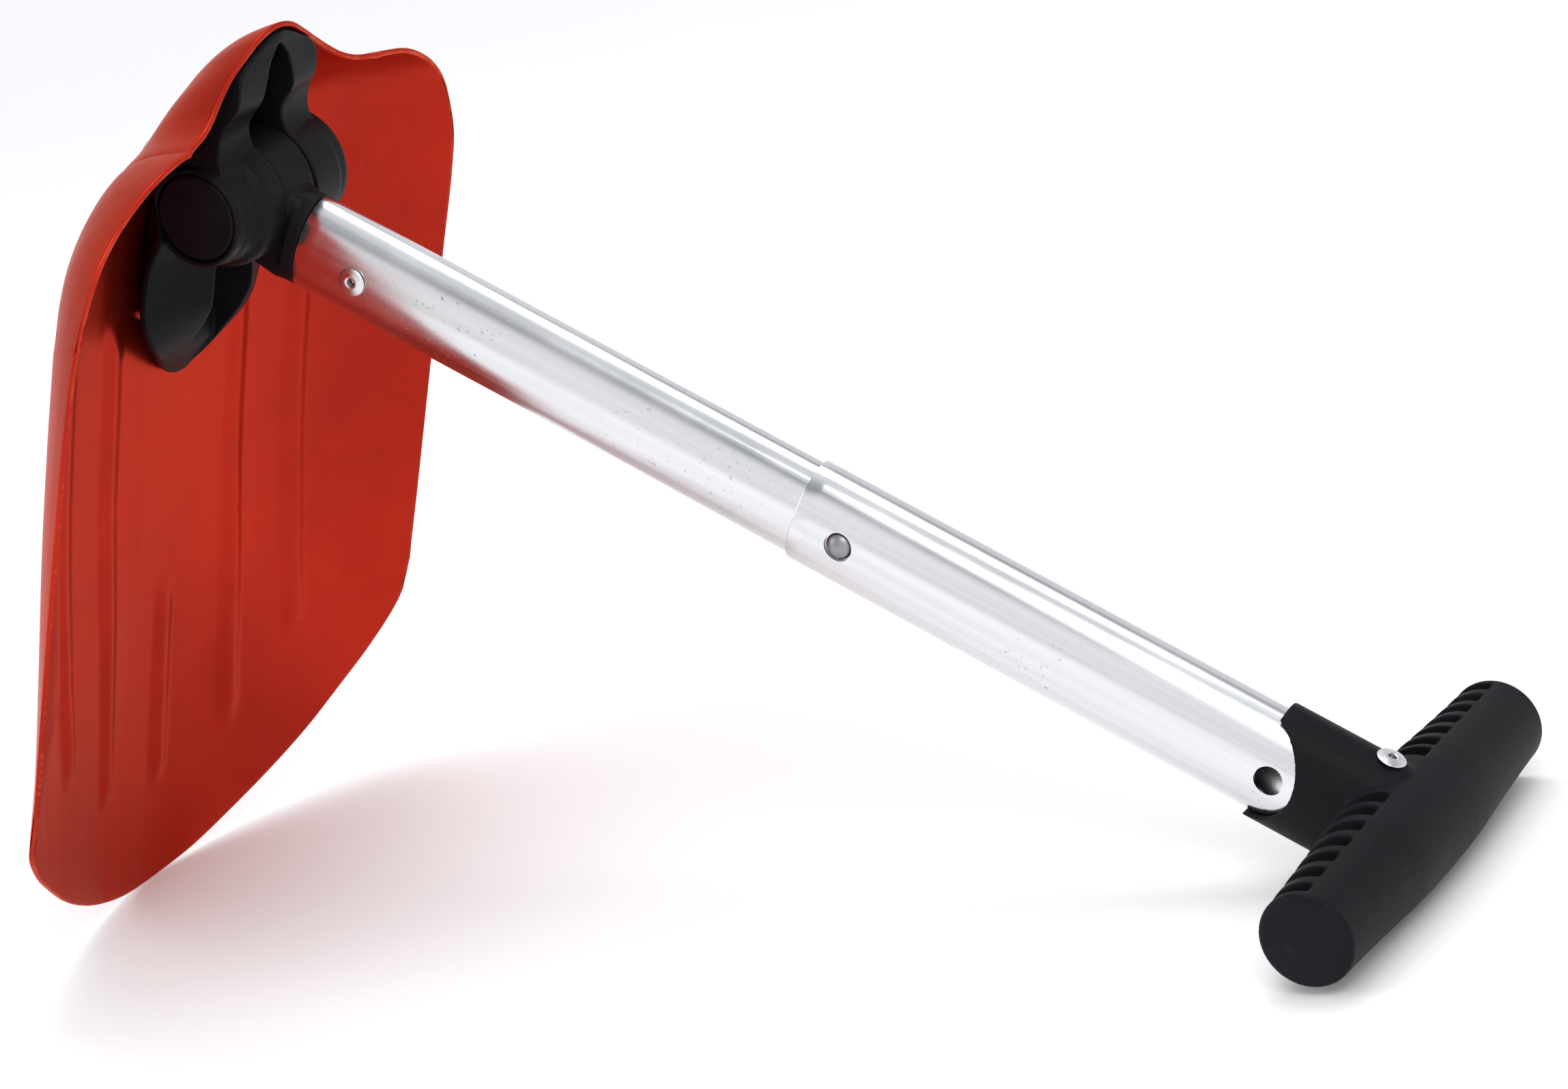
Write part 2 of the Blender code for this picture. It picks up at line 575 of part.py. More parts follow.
def snap_button(parent, finish):
    """Domed catch that its spring pushes out towards -Y."""
    crown = -10.74 * MM
    radius = 4.2 * MM
    profile = [(0.3 * MM, crown), (1.6 * MM, crown + 0.12 * MM), (3.0 * MM, crown + 0.6 * MM),
               (radius, crown + 1.9 * MM), (radius, -8.2 * MM), (5.4 * MM, -8.2 * MM), (5.4 * MM, -7.2 * MM),
               (3.0 * MM, -7.2 * MM), (3.0 * MM, -5.4 * MM), (0.3 * MM, -5.4 * MM)]
    obj = turned("snap_button", profile, finish, parent, 20)
    obj.location.x = SNAP_PLACE
    return obj


def snap_spring(parent, finish):
    """Flat V spring inside the lower tube, with its bend towards the hinge."""
    thick = 0.6 * MM
    half = 4.0 * MM
    bend = 198 * MM
    path = [(SNAP_PLACE + 7 * MM, -5.1 * MM), (SNAP_PLACE - 6 * MM, -5.1 * MM), (bend + 4 * MM, 4.2 * MM),
            (bend + 1 * MM, 5.6 * MM), (bend + 0.6 * MM, 6.8 * MM), (bend + 2.6 * MM, 7.9 * MM),
            (SNAP_PLACE + 9 * MM, 7.9 * MM)]
    rings = []
    for i, (x, y) in enumerate(path):
        before = Vector(path[max(i - 1, 0)])
        after = Vector(path[min(i + 1, len(path) - 1)])
        along = (after - before).normalized()
        side = Vector((-along.y, along.x)) * thick / 2
        rings.append([(x + side.x, y + side.y, -half), (x + side.x, y + side.y, half),
                      (x - side.x, y - side.y, half), (x - side.x, y - side.y, -half)])
    points, faces = loft(rings)
    obj = make("snap_spring", points, faces, finish, parent)
    return obj


# ---------------------------------------------------------------- grip
def grip_bar():
    """Spindle across the shaft, thickest in the middle."""
    half = [(-y, radius) for y, radius in reversed(GRIP_BAR[1:])]
    obj = turned("t_grip", [(radius * MM, y * MM) for y, radius in half + GRIP_BAR], segments=28)
    obj.data.transform(Matrix.Translation((GRIP_PLACE, 0, GRIP_LIFT)))
    return obj


def t_grip(parent, finish):
    obj = grip_bar()
    obj.parent = parent
    obj.data.materials.append(finish)
    for side in (-1, 1):
        for place, width in POCKETS:
            carve(obj, pocket(side * place * MM, width * MM))
    wall = (UPPER_OUT[0] + SOCKET_WALL, UPPER_OUT[1] + SOCKET_WALL)
    socket = [oval(SOCKET_LIP, *wall), oval(GRIP_RIVET + 5.5 * MM, *wall),
              oval(GRIP_PLACE + 4 * MM, wall[0] + 2 * MM, wall[1] - 4 * MM)]
    points, faces = loft(socket)
    carve(obj, make("socket", points, faces), "UNION")
    hollow = (UPPER_OUT[0] + GAP, UPPER_OUT[1] + GAP)
    points, faces = loft([oval(SOCKET_LIP - 20 * MM, *hollow), oval(UPPER_END + GAP, *hollow)])
    carve(obj, make("hollow", points, faces))
    scallop = SOCKET_THROAT - SOCKET_SCALLOP
    carve(obj, rod("scallop", SOCKET_SCALLOP, (scallop, -30 * MM, 0), (scallop, 30 * MM, 0), 36))
    carve(obj, rod("hole", 2.6 * MM, (GRIP_RIVET, 0, -30 * MM), (GRIP_RIVET, 0, 30 * MM), 12))
    smooth(obj, 30)
    return obj


def pocket(y, width):
    """Cutter for one finger pocket, open to the shaft side and to the top of the bar."""
    reach = 30 * MM
    x0 = GRIP_PLACE - reach
    right = GRIP_PLACE - 5.7 * MM
    outline = [(x0, -9 * MM), (GRIP_PLACE - 9 * MM, -9 * MM), (GRIP_PLACE - 9 * MM, 4 * MM),
               (right, 10 * MM), (right, reach), (x0, reach)]
    rings = []
    for side in (-0.5, 0.5):
        rings.append([(x, y + side * width, z + GRIP_LIFT) for x, z in outline])
    points, faces = loft(rings)
    return make("pocket", points, faces)


def grip_rivets(parent, finish):
    height = UPPER_OUT[1] + SOCKET_WALL + GAP
    top = blind_rivet("grip_rivet_top", 7.2 * MM, finish, parent)
    top.location = (GRIP_RIVET, 0, height)
    bottom = blind_rivet("grip_rivet_bottom", 7.2 * MM, finish, parent)
    bottom.location = (GRIP_RIVET, 0, -height)
    bottom.rotation_euler.x = math.radians(180)


# ---------------------------------------------------------------- stance
def placed_points(obj, frame):
    matrix = frame.inverted() @ obj.matrix_world
    return np.array([matrix @ vertex.co for vertex in obj.data.vertices])


def stand_up(stand, pieces):
    """Pitch the shovel until blade tip and grip touch the ground, and centre its box."""
    bpy.context.view_layer.update()
    blade_points = placed_points(pieces["blade"], stand.matrix_world)
    grip_points = placed_points(pieces["t_grip"], stand.matrix_world)
    low, high = 0.0, math.radians(60)
    for _ in range(60):
        pitch = (low + high) / 2
        sine, cosine = math.sin(pitch), math.cos(pitch)
        blade_low = (-blade_points[:, 0] * sine + blade_points[:, 2] * cosine).min()
        grip_low = (-grip_points[:, 0] * sine + grip_points[:, 2] * cosine).min()
        if blade_low < grip_low:
            low = pitch
        else:
            high = pitch
    stand.rotation_euler.y = pitch
    bpy.context.view_layer.update()
    every = np.vstack([placed_points(obj, Matrix.Identity(4)) for obj in pieces.values()])
    least, most = every.min(axis=0), every.max(axis=0)
    stand.location = (-(least[0] + most[0]) / 2, -(least[1] + most[1]) / 2, -least[2])
    bpy.context.view_layer.update()


def main():
    for obj in list(bpy.data.objects):
        bpy.data.objects.remove(obj)
    red = material("anodised_red", (0.42, 0.022, 0.012), 0.34, 0.85)
    bright = material("bright_aluminium", (0.82, 0.83, 0.85), 0.24, 1.0)
    bright_upper = material("bright_aluminium_outer", (0.8, 0.81, 0.83), 0.26, 1.0)
    black = material("black_nylon", (0.018, 0.018, 0.021), 0.48, 0.0)
    black_grip = material("black_grip", (0.02, 0.02, 0.023), 0.56, 0.0)
    steel = material("steel", (0.52, 0.52, 0.53), 0.32, 1.0)
    grey = material("button_steel", (0.3, 0.3, 0.31), 0.42, 1.0)
    spring = material("spring_steel", (0.38, 0.38, 0.4), 0.36, 1.0)
    stand = empty("stand")
    blade_frame = empty("blade_frame", stand)
    blade_frame.rotation_euler.y = -BLADE_TILT
    tube_axis = empty("tube_axis", stand)
    tube_axis.location.z = -TUBE_DROP
    blade(blade_frame, red)
    bracket(blade_frame, black)
    bracket_rivets(blade_frame, steel)
    knuckle(stand, black)
    axle(blade_frame, steel)
    release_button(blade_frame, black)
    lock_ring(stand, steel)
    coil_spring(stand, spring)
    end_cap(blade_frame, black)
    lower_tube(tube_axis, bright)
    lower_rivets(tube_axis, steel)
    snap_button(tube_axis, grey)
    snap_spring(tube_axis, spring)
    upper_tube(tube_axis, bright_upper)
    t_grip(tube_axis, black_grip)
    grip_rivets(tube_axis, steel)
    pieces = {obj.name: obj for obj in bpy.data.objects if obj.type == "MESH"}
    stand_up(stand, pieces)


main()
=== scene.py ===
"""Looks for the folding avalanche shovel.

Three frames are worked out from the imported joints. STAND has the hinge axis as
its Y axis, +X along the shaft towards the grip and +Z on the shaft's upper side.
BLADE leans from it by the blade's tilt: +X is the blade's inner side and +Z runs
up the blade. TUBE is STAND moved down to the tubes' centre line.
"""
import json
import math

import bmesh
import bpy
import numpy as np
from mathutils import Matrix, Vector
from mathutils.kdtree import KDTree


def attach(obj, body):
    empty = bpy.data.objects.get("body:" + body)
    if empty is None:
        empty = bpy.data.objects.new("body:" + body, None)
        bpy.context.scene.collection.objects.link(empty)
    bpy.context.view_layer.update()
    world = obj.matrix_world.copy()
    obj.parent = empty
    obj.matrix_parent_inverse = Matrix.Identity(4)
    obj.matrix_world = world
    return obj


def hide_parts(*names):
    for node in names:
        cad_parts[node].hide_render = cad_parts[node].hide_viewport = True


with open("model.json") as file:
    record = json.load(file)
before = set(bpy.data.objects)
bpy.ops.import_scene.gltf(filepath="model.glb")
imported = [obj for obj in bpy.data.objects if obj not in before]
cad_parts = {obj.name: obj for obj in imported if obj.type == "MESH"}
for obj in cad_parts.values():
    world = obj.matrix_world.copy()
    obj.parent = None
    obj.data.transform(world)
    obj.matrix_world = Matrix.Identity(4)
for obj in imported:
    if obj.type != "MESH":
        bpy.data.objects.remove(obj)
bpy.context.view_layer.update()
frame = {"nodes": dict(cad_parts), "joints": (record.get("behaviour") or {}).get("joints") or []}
JOINTS = {joint["name"]: joint for joint in frame["joints"]}
MM = 0.001
RIM_WEAR = "rim_wear"

# Driving dimensions, the same as the solids'
BLADE_TILT = math.radians(11.0)
TUBE_DROP = 5.4 * MM
SEAM = 9.0 * MM
GAP = 0.3 * MM
BLADE_SHEET = 1.8 * MM
BLADE_FLOOR = -25.0 * MM
BOWL_CENTRE = -100.0 * MM
# Blade's half outline: distance from the middle, height, forward reach, bowl power
TOP_EDGE = [(0, 59.4, 8.3, 9.0), (9, 57.4, 8.0, 9.0), (17.5, 52.4, 7.6, 9.4), (24.5, 47.6, 7.4, 10.0),
            (31.7, 42.5, 8.4, 10.4), (38, 38.5, 10.0, 10.6), (45.5, 35.5, 11.5, 10.6),
            (56, 33.5, 12.6, 10.2), (64, 32.2, 13.2, 9.4), (71, 30.7, 13.4, 8.6),
            (78, 28.3, 13.4, 7.8), (85, 24.8, 13.3, 7.1), (92, 20.3, 13.2, 6.4),
            (98, 15.0, 13.1, 5.8), (102.6, 9.2, 13.0, 5.3), (106.4, 1.8, 12.9, 4.9),
            (109.6, -6, 12.9, 4.5), (112, -14, 12.8, 4.3)]
SIDE_EDGE = [(112, -14, 12.8, 4.3), (113.5, -30, 12.1, 4.1), (114.1, -55, 10.8, 4.0),
             (114.6, -100, 9.0, 3.8), (114.95, -148, 7.4, 3.25), (114.84, -184, 6.1, 2.8)]
BOTTOM_EDGE = [(114.84, -184, 6.1, 2.8), (114.5, -195, 4.8, 2.6), (111.4, -205, 2.6, 2.5),
               (101.5, -218.0, -1.0, 2.35), (88.5, -230.6, -5.0, 2.25), (75.5, -242.0, -8.6, 2.2),
               (60, -253.2, -13.0, 2.2), (42, -263.6, -17.6, 2.2), (21, -271.8, -21.2, 2.2),
               (0, -275.0, -23.4, 2.2)]
RIB_HEIGHT = 1.7 * MM
RIB_HALF = 7.0 * MM
RIBS = [(0.0, -150.0, -240.0), (37.5, -38.0, -232.0), (-37.5, -38.0, -232.0),
        (69.0, -24.0, -205.0), (-69.0, -24.0, -205.0)]   # place, upper end, lower end
CREASE_ANGLE = math.atan2(55.5, 133.5)   # ray where the top lobe's wall folds into the shoulder's
CREASE_HALF = 3.6 * MM
CREASE_DEPTH = 1.3 * MM
# Bracket: height, half width, crest beside the slot, outer edge's height
BRACKET = [(58, 3.0, 8.8, 8.6), (56.8, 6.5, 9.0, 8.6), (55.2, 10, 9.2, 8.6), (53, 14.4, 9.2, 8.4),
           (50, 19.8, 9.4, 8.6), (47, 22.3, 9.6, 9.0), (43.4, 23, 9.8, 9.5), (38.5, 23.2, 9.8, 9.3),
           (35, 23.9, 8.6, 8.0), (32, 24.8, 6.8, 6.5), (28, 25.8, 5.4, 5.1), (24, 26.5, 5.8, 4.9), (21, 27.2, 7.6, 5.4), (18.5, 27.9, 10.8, 6.6),
           (16, 28.4, 13.7, 7.6), (12, 29.2, 15.5, 7.0), (4, 31.0, 0.0, -4), (-10, 33.2, -2.4, -10), (-22, 34.2, -3.2, -14),
           (-33, 34.6, -3.2, -15), (-40, 34.4, -3.6, -15), (-46, 32.8, -6.2, -14.6),
           (-52, 29.4, -9.4, -14.4), (-57, 25.0, -12.2, -15.4), (-62, 19.6, -15.0, -17.6),
           (-67, 13.6, -18.0, -20.2), (-70.6, 8.4, -20.8, -21.8), (-72.8, 3.6, -21.8, -22.2)]
SLOT = [(54.4, 0.6), (52.6, 2.3), (49.3, 5.0), (44.4, 6.8), (39, 8.5), (33, 9.3), (27, 9.3), (21, 9.3),
        (15, 9.3), (10, 9.3), (5, 9.3), (1, 9.3), (-17, 9.3), (-22, 10.6), (-28, 11.0), (-50, 11.6),
        (-57, 9.6), (-64, 6.8), (-70.4, 1.4)]
SLOT_FLOOR = -21.4 * MM
RAMP = [(-46, -21.4), (-55, -17.2), (-60, -15.8), (-66, -18.6), (-72, -22.0)]   # slot's lower end: height, floor
LIP = 1.8 * MM            # thickness of the lower lobe's free edge
BED = 0.8 * MM
BRACKET_WALL = 1.2 * MM
EAR = 31.4 * MM
EAR_WEB_NEAR = (-20.5 * MM, -16.0 * MM)
EAR_WEB_FAR = 23.0 * MM
CHAMBER = 15.3 * MM
BARREL = 21.0 * MM
AXLE_BORE = 4.4 * MM
BUTTON = 14.85 * MM
BUTTON_FACE = -30.8 * MM
LOWER_OUT = (10.68 * MM, 16.83 * MM)
LOWER_IN = (9.2 * MM, 15.35 * MM)
UPPER_OUT = (11.94 * MM, 18.09 * MM)
UPPER_IN = (10.94 * MM, 17.09 * MM)
TUBE_START = 27.6 * MM
LOWER_END = 256.0 * MM
UPPER_START = 220.4 * MM
UPPER_END = 430.0 * MM
SNAP_PLACE = 237.8 * MM
TRAVEL = JOINTS["telescope"]["range_m"][1]
LOWER_RIVET = 50.5 * MM
GRIP_PLACE = 435.7 * MM
GRIP_LIFT = 1.5 * MM
GRIP_BAR = [(0, 18.4), (14, 18.3), (26, 17.9), (38, 17.1), (52, 16.3), (66, 15.6), (78, 15.15)]
GRIP_HALF = 81.5 * MM
GRIP_RIVET = 423.4 * MM
SOCKET_WALL = 2.5 * MM
SOCKET_LIP = 388.5 * MM
SOCKET_THROAT = 402.0 * MM
SOCKET_SCALLOP = 18.6 * MM
POCKETS = [(17.2, 6.6), (26.0, 6.0), (35.9, 6.0), (45.8, 6.0), (55.6, 6.0), (65.5, 6.0), (75.3, 5.4)]

# Fineness
SKY_ENDS = ((0.97, 0.97, 0.98), (0.90, 0.92, 0.96))       # surround's tone at the horizon and overhead
SKY_BANDS = ((0.46, (0.98, 0.98, 1.0)), (0.64, (0.36, 0.37, 0.40)), (0.80, (0.50, 0.51, 0.54)))
VOXEL = 0.42 * MM
ROUND = 128

# Camera, in the STAND frame
CAMERA_PLACE = Vector((0.6485, -1.2464, 0.7838))
CAMERA_RIGHT = Vector((0.8431, 0.4658, 0.2686))
CAMERA_BACK = Vector((0.2795, -0.8064, 0.5211))
CAMERA_LENS = 111.1
CAMERA_SENSOR = 36.0


def stand_matrix():
    """Hinge frame at rest, from the fold joint's place and the telescope's direction."""
    along = -Vector(JOINTS["telescope"]["axis"]).normalized()
    across = Vector((0, 1, 0))
    turn = Matrix((along, across, along.cross(across))).transposed().to_4x4()
    return Matrix.Translation(JOINTS["fold"]["pos_m"]) @ turn


STAND = stand_matrix()
BLADE = STAND @ Matrix.Rotation(-BLADE_TILT, 4, "Y")
TUBE = STAND @ Matrix.Translation((0, 0, -TUBE_DROP))


# ---------------------------------------------------------------- materials
class Finish:
    """A Principled material and short ways to add its nodes, patterned along a frame's axes."""

    def __init__(self, name, colour, roughness, metallic=0.0, axes=STAND, **sockets):
        self.material = bpy.data.materials.new(name)
        self.material.use_nodes = True
        self.tree = self.material.node_tree
        self.shader = self.tree.nodes["Principled BSDF"]
        self.shader.inputs["Base Color"].default_value = (*colour, 1.0)
        self.shader.inputs["Roughness"].default_value = roughness
        self.shader.inputs["Metallic"].default_value = metallic
        for socket, value in sockets.items():
            self.shader.inputs[socket.replace("_", " ")].default_value = value
        turned_place = self.tree.nodes.new("ShaderNodeMapping")
        turned_place.inputs["Location"].default_value = axes.inverted().translation
        turned_place.inputs["Rotation"].default_value = axes.inverted().to_euler()
        self.link(self.tree.nodes.new("ShaderNodeTexCoord").outputs["Object"], turned_place.inputs["Vector"])
        self.place = turned_place.outputs["Vector"]

    def link(self, output, socket):
        self.tree.links.new(output, socket)

    def noise(self, scale, detail=3.0, rough=0.55, stretch=(1, 1, 1)):
        mapping = self.tree.nodes.new("ShaderNodeMapping")
        mapping.inputs["Scale"].default_value = stretch
        self.link(self.place, mapping.inputs["Vector"])
        node = self.tree.nodes.new("ShaderNodeTexNoise")
        node.inputs["Scale"].default_value = scale
        node.inputs["Detail"].default_value = detail
        node.inputs["Roughness"].default_value = rough
        self.link(mapping.outputs["Vector"], node.inputs["Vector"])
        return node.outputs["Fac"]

    def ramp(self, value, low, high, start, end):
        """Value's range low..high spread over start..end, held outside it."""
        node = self.tree.nodes.new("ShaderNodeMapRange")
        for socket, number in zip(("From Min", "From Max", "To Min", "To Max"), (low, high, start, end)):
            node.inputs[socket].default_value = number
        self.link(value, node.inputs["Value"])
        return node.outputs["Result"]

    def math(self, operation, first, second):
        node = self.tree.nodes.new("ShaderNodeMath")
        node.operation = operation
        for socket, value in zip(node.inputs, (first, second)):
            if isinstance(value, (int, float)):
                socket.default_value = value
            else:
                self.link(value, socket)
        return node.outputs["Value"]

    def mix(self, share, first, second):
        """Colour between two, each a colour or an output."""
        node = self.tree.nodes.new("ShaderNodeMix")
        node.data_type = "RGBA"
        self.link(share, node.inputs["Factor"])
        for socket, value in zip([s for s in node.inputs if s.type == "RGBA"], (first, second)):
            if isinstance(value, tuple):
                socket.default_value = (*value, 1.0)
            else:
                self.link(value, socket)
        return [s for s in node.outputs if s.type == "RGBA"][0]

    def set(self, socket, output):
        self.link(output, self.shader.inputs[socket])

    def bump(self, height, distance, strength=1.0):
        node = self.tree.nodes.new("ShaderNodeBump")
        node.inputs["Distance"].default_value = distance
        node.inputs["Strength"].default_value = strength
        self.link(height, node.inputs["Height"])
        previous = self.shader.inputs["Normal"].links
        if previous:
            self.link(previous[0].from_socket, node.inputs["Normal"])
        self.set("Normal", node.outputs["Normal"])


def red_finish():
    """Satin red anodised sheet: grain, drawn streaks, fine scuffs and a rim rubbed bright."""
    made = Finish("anodised_red_sheet", (0.52, 0.014, 0.003), 0.34, 0.9, BLADE,
                  Specular_IOR_Level=0.2, Specular_Tint=(1.0, 0.62, 0.55, 1.0))
    patches = made.noise(14.0, 4.0)
    grain = made.noise(1500.0, 2.0)
    streaks = made.noise(90.0, 3.0, stretch=(1, 1, 0.04))
    scuffs = made.ramp(made.noise(420.0, 2.0, stretch=(1, 1, 0.15)), 0.74, 0.78, 0.0, 1.0)
    marks = made.math("MULTIPLY", scuffs, made.ramp(made.noise(22.0, 2.0), 0.52, 0.66, 0.0, 0.55))
    base = made.mix(made.ramp(patches, 0.35, 0.65, 0.0, 1.0), (0.37, 0.020, 0.011), (0.46, 0.026, 0.012))
    rubbed = made.tree.nodes.new("ShaderNodeAttribute")
    rubbed.attribute_name = RIM_WEAR
    wear = made.math("MULTIPLY", rubbed.outputs["Fac"], made.ramp(made.noise(160.0, 4.0), 0.42, 0.66, 0.1, 0.8))
    worn = made.mix(wear, base, (0.70, 0.13, 0.07))
    made.set("Base Color", made.mix(marks, worn, (0.60, 0.12, 0.08)))
    rough = made.math("ADD", made.ramp(patches, 0.3, 0.7, 0.28, 0.37), made.ramp(streaks, 0.35, 0.65, -0.02, 0.05))
    made.set("Roughness", made.math("ADD", rough, made.math("MULTIPLY", marks, 0.15)))
    made.bump(grain, 0.00003, 0.5)
    made.bump(made.noise(28.0, 2.0), 0.0002, 0.35)
    return made.material


def aluminium_finish(name):
    """Bright drawn tube: lines along its length, dull specks and small scratches."""
    made = Finish(name, (0.73, 0.73, 0.75), 0.2, 1.0, TUBE)
    lines = made.noise(260.0, 2.0, stretch=(0.012, 1, 1))
    broad = made.noise(45.0, 2.0, stretch=(0.02, 1, 1))
    smudge = made.noise(24.0, 4.0)
    specks = made.ramp(made.noise(650.0, 2.0), 0.66, 0.70, 0.0, 1.0)
    marks = made.math("MULTIPLY", specks, made.ramp(made.noise(18.0, 2.0), 0.5, 0.62, 0.0, 0.8))
    tone = made.mix(made.ramp(lines, 0.35, 0.65, 0.0, 1.0), (0.69, 0.695, 0.72), (0.78, 0.785, 0.795))
    made.set("Base Color", made.mix(marks, tone, (0.38, 0.37, 0.38)))
    rough = made.math("ADD", made.ramp(smudge, 0.3, 0.7, 0.15, 0.24), made.ramp(lines, 0.3, 0.7, -0.03, 0.04))
    made.set("Roughness", made.math("ADD", rough, made.math("MULTIPLY", marks, 0.2)))
    made.bump(lines, 0.00002, 0.6)
    made.bump(broad, 0.00008, 0.5)
    made.bump(marks, 0.00003, -0.6)
    return made.material


def plastic_finish(name, colour, roughness, grain, depth, parting=None):
    """Moulded black plastic: fine skin, soft sheen patches, rubbed spots, and a parting line across the shaft."""
    made = Finish(name, colour, roughness, 0.0, STAND, Specular_IOR_Level=0.075)
    skin = made.noise(grain, 3.0)
    patches = made.noise(26.0, 4.0)
    rubs = made.ramp(made.noise(140.0, 4.0, stretch=(1, 0.35, 1)), 0.62, 0.72, 0.0, 0.6)
    lighter = tuple(1.6 * c + 0.002 for c in colour)
    tone = made.mix(made.ramp(patches, 0.4, 0.75, 0.0, 0.8), colour, lighter)
    rubbed = made.math("MULTIPLY", rubs, made.ramp(patches, 0.5, 0.7, 0.0, 1.0))
    made.set("Base Color", made.mix(rubbed, tone, tuple(3.0 * c for c in colour)))
    made.set("Roughness", made.math("ADD", made.ramp(patches, 0.3, 0.7, roughness - 0.06, roughness + 0.07),
                                    made.ramp(skin, 0.3, 0.7, -0.03, 0.03)))
    made.bump(skin, depth, 0.6)
    made.bump(made.noise(60.0, 2.0), 0.00012, 0.3)
    if parting:
        split = made.tree.nodes.new("ShaderNodeSeparateXYZ")
        made.link(made.place, split.inputs["Vector"])
        away = made.math("ABSOLUTE", made.math("SUBTRACT", split.outputs["X"], parting), 0.0)
        made.bump(made.ramp(away, 0.0, 0.35 * MM, 1.0, 0.0), 0.00012, 0.8)
    return made.material


def steel_finish(name, colour, roughness):
    """Plain steel: fine random grain with darker spots."""
    made = Finish(name, colour, roughness, 1.0)
    grain = made.noise(1400.0, 2.0)
    spots = made.noise(260.0, 3.0)
    darker = tuple(0.55 * c for c in colour)
    made.set("Base Color", made.mix(made.ramp(spots, 0.5, 0.72, 0.0, 0.7), colour, darker))
    made.set("Roughness", made.ramp(spots, 0.3, 0.7, roughness - 0.07, roughness + 0.12))
    made.bump(grain, 0.00002, 0.6)
    return made.material


RED = red_finish()
BRIGHT = aluminium_finish("bright_drawn_aluminium")
BRIGHT_UPPER = aluminium_finish("bright_drawn_aluminium_outer")
BLACK = plastic_finish("black_nylon_moulded", (0.0048, 0.0048, 0.0061), 0.42, 1900.0, 0.00002)
BLACK_GRIP = plastic_finish("black_grip_moulded", (0.0066, 0.0066, 0.0084), 0.50, 1300.0, 0.00004, GRIP_PLACE)
STEEL = steel_finish("rivet_steel", (0.72, 0.72, 0.73), 0.3)
BUTTON_STEEL = steel_finish("catch_steel", (0.30, 0.30, 0.31), 0.38)
SPRING_STEEL = steel_finish("spring_steel_grey", (0.36, 0.36, 0.38), 0.34)


# ---------------------------------------------------------------- mesh helpers
def make(name, points, faces, matrix=STAND, finish=None):
    mesh = bpy.data.meshes.new(name)
    mesh.from_pydata([tuple(p) for p in points], [], faces)
    tidy = bmesh.new()
    tidy.from_mesh(mesh)
    bmesh.ops.remove_doubles(tidy, verts=tidy.verts, dist=0.000005)
    bmesh.ops.recalc_face_normals(tidy, faces=tidy.faces)
    tidy.to_mesh(mesh)
    tidy.free()
    obj = bpy.data.objects.new(name, mesh)
    bpy.context.scene.collection.objects.link(obj)
    obj.matrix_world = matrix
    if finish:
        mesh.materials.append(finish)
    return obj


def loft(rings, closed=False):
    """Points and faces of a skin over equal rings, capped unless it closes on itself."""
    count = len(rings[0])
    points = [p for ring in rings for p in ring]
    faces = []
    spans = len(rings) if closed else len(rings) - 1
    for i in range(spans):
        a = i * count
        b = ((i + 1) % len(rings)) * count
        for j in range(count):
            k = (j + 1) % count
            faces.append((a + j, a + k, b + k, b + j))
    if not closed:
        faces.append(tuple(reversed(range(count))))
        faces.append(tuple(range(len(points) - count, len(points))))
    return points, faces


def oval(x, half_y, half_z, centre_z=0.0, power=2.0, segments=ROUND):
    """Ring across X. Power 2 is an ellipse, a larger power squares its corners."""
    ring = []
    for i in range(segments):
        angle = 2 * math.pi * (i + 0.5) / segments
        c = math.cos(angle)
        s = math.sin(angle)
        y = half_y * math.copysign(abs(c) ** (2 / power), c)
        z = half_z * math.copysign(abs(s) ** (2 / power), s)
        ring.append((x, y, centre_z + z))
    return ring


def turned(name, profile, matrix=STAND, finish=None, segments=ROUND, closed=False):
    """Body of revolution about Y. Profile points are (radius, y)."""
    rings = []
    for radius, y in profile:
        angles = [2 * math.pi * (i + 0.5) / segments for i in range(segments)]
        rings.append([(radius * math.cos(a), y, radius * math.sin(a)) for a in angles])
    points, faces = loft(rings, closed)
    return make(name, points, faces, matrix, finish)


def rod(radius, start, end, matrix=STAND, segments=48):
    """Plain cylinder between two points."""
    start = Vector(start)
    end = Vector(end)
    turn = Vector((0, 0, 1)).rotation_difference(end - start).to_matrix()
    rings = []
    for place in (start, end):
        angles = [2 * math.pi * (i + 0.37) / segments for i in range(segments)]
        rings.append([place + turn @ Vector((radius * math.cos(a), radius * math.sin(a), 0)) for a in angles])
    points, faces = loft(rings)
    return make("rod", points, faces, matrix)


def rounded(profile, radius, steps=4):
    """Profile with each inner corner of the polyline replaced by a small arc."""
    out = [profile[0]]
    for before, corner, after in zip(profile, profile[1:], profile[2:]):
        corner = Vector(corner)
        first = Vector(before) - corner
        second = Vector(after) - corner
        cut = min(radius, 0.45 * first.length, 0.45 * second.length)
        start = corner + first.normalized() * cut
        end = corner + second.normalized() * cut
        for i in range(steps + 1):
            t = i / steps
            out.append(tuple((1 - t) ** 2 * start + 2 * t * (1 - t) * corner + t * t * end))
    out.append(profile[-1])
    return out


def applied(obj):
    """Object with its modifiers made real."""
    bpy.context.view_layer.update()
    graph = bpy.context.evaluated_depsgraph_get()
    mesh = bpy.data.meshes.new_from_object(obj.evaluated_get(graph), depsgraph=graph)
    obj.modifiers.clear()
    obj.data = mesh
    return obj


def carve(obj, tool, operation="DIFFERENCE"):
    """Apply a Boolean with the tool object and remove the tool."""
    modifier = obj.modifiers.new("carve", "BOOLEAN")
    modifier.object = tool
    modifier.operation = operation
    modifier.solver = "EXACT"
    applied(obj)
    bpy.data.objects.remove(tool)
    return obj


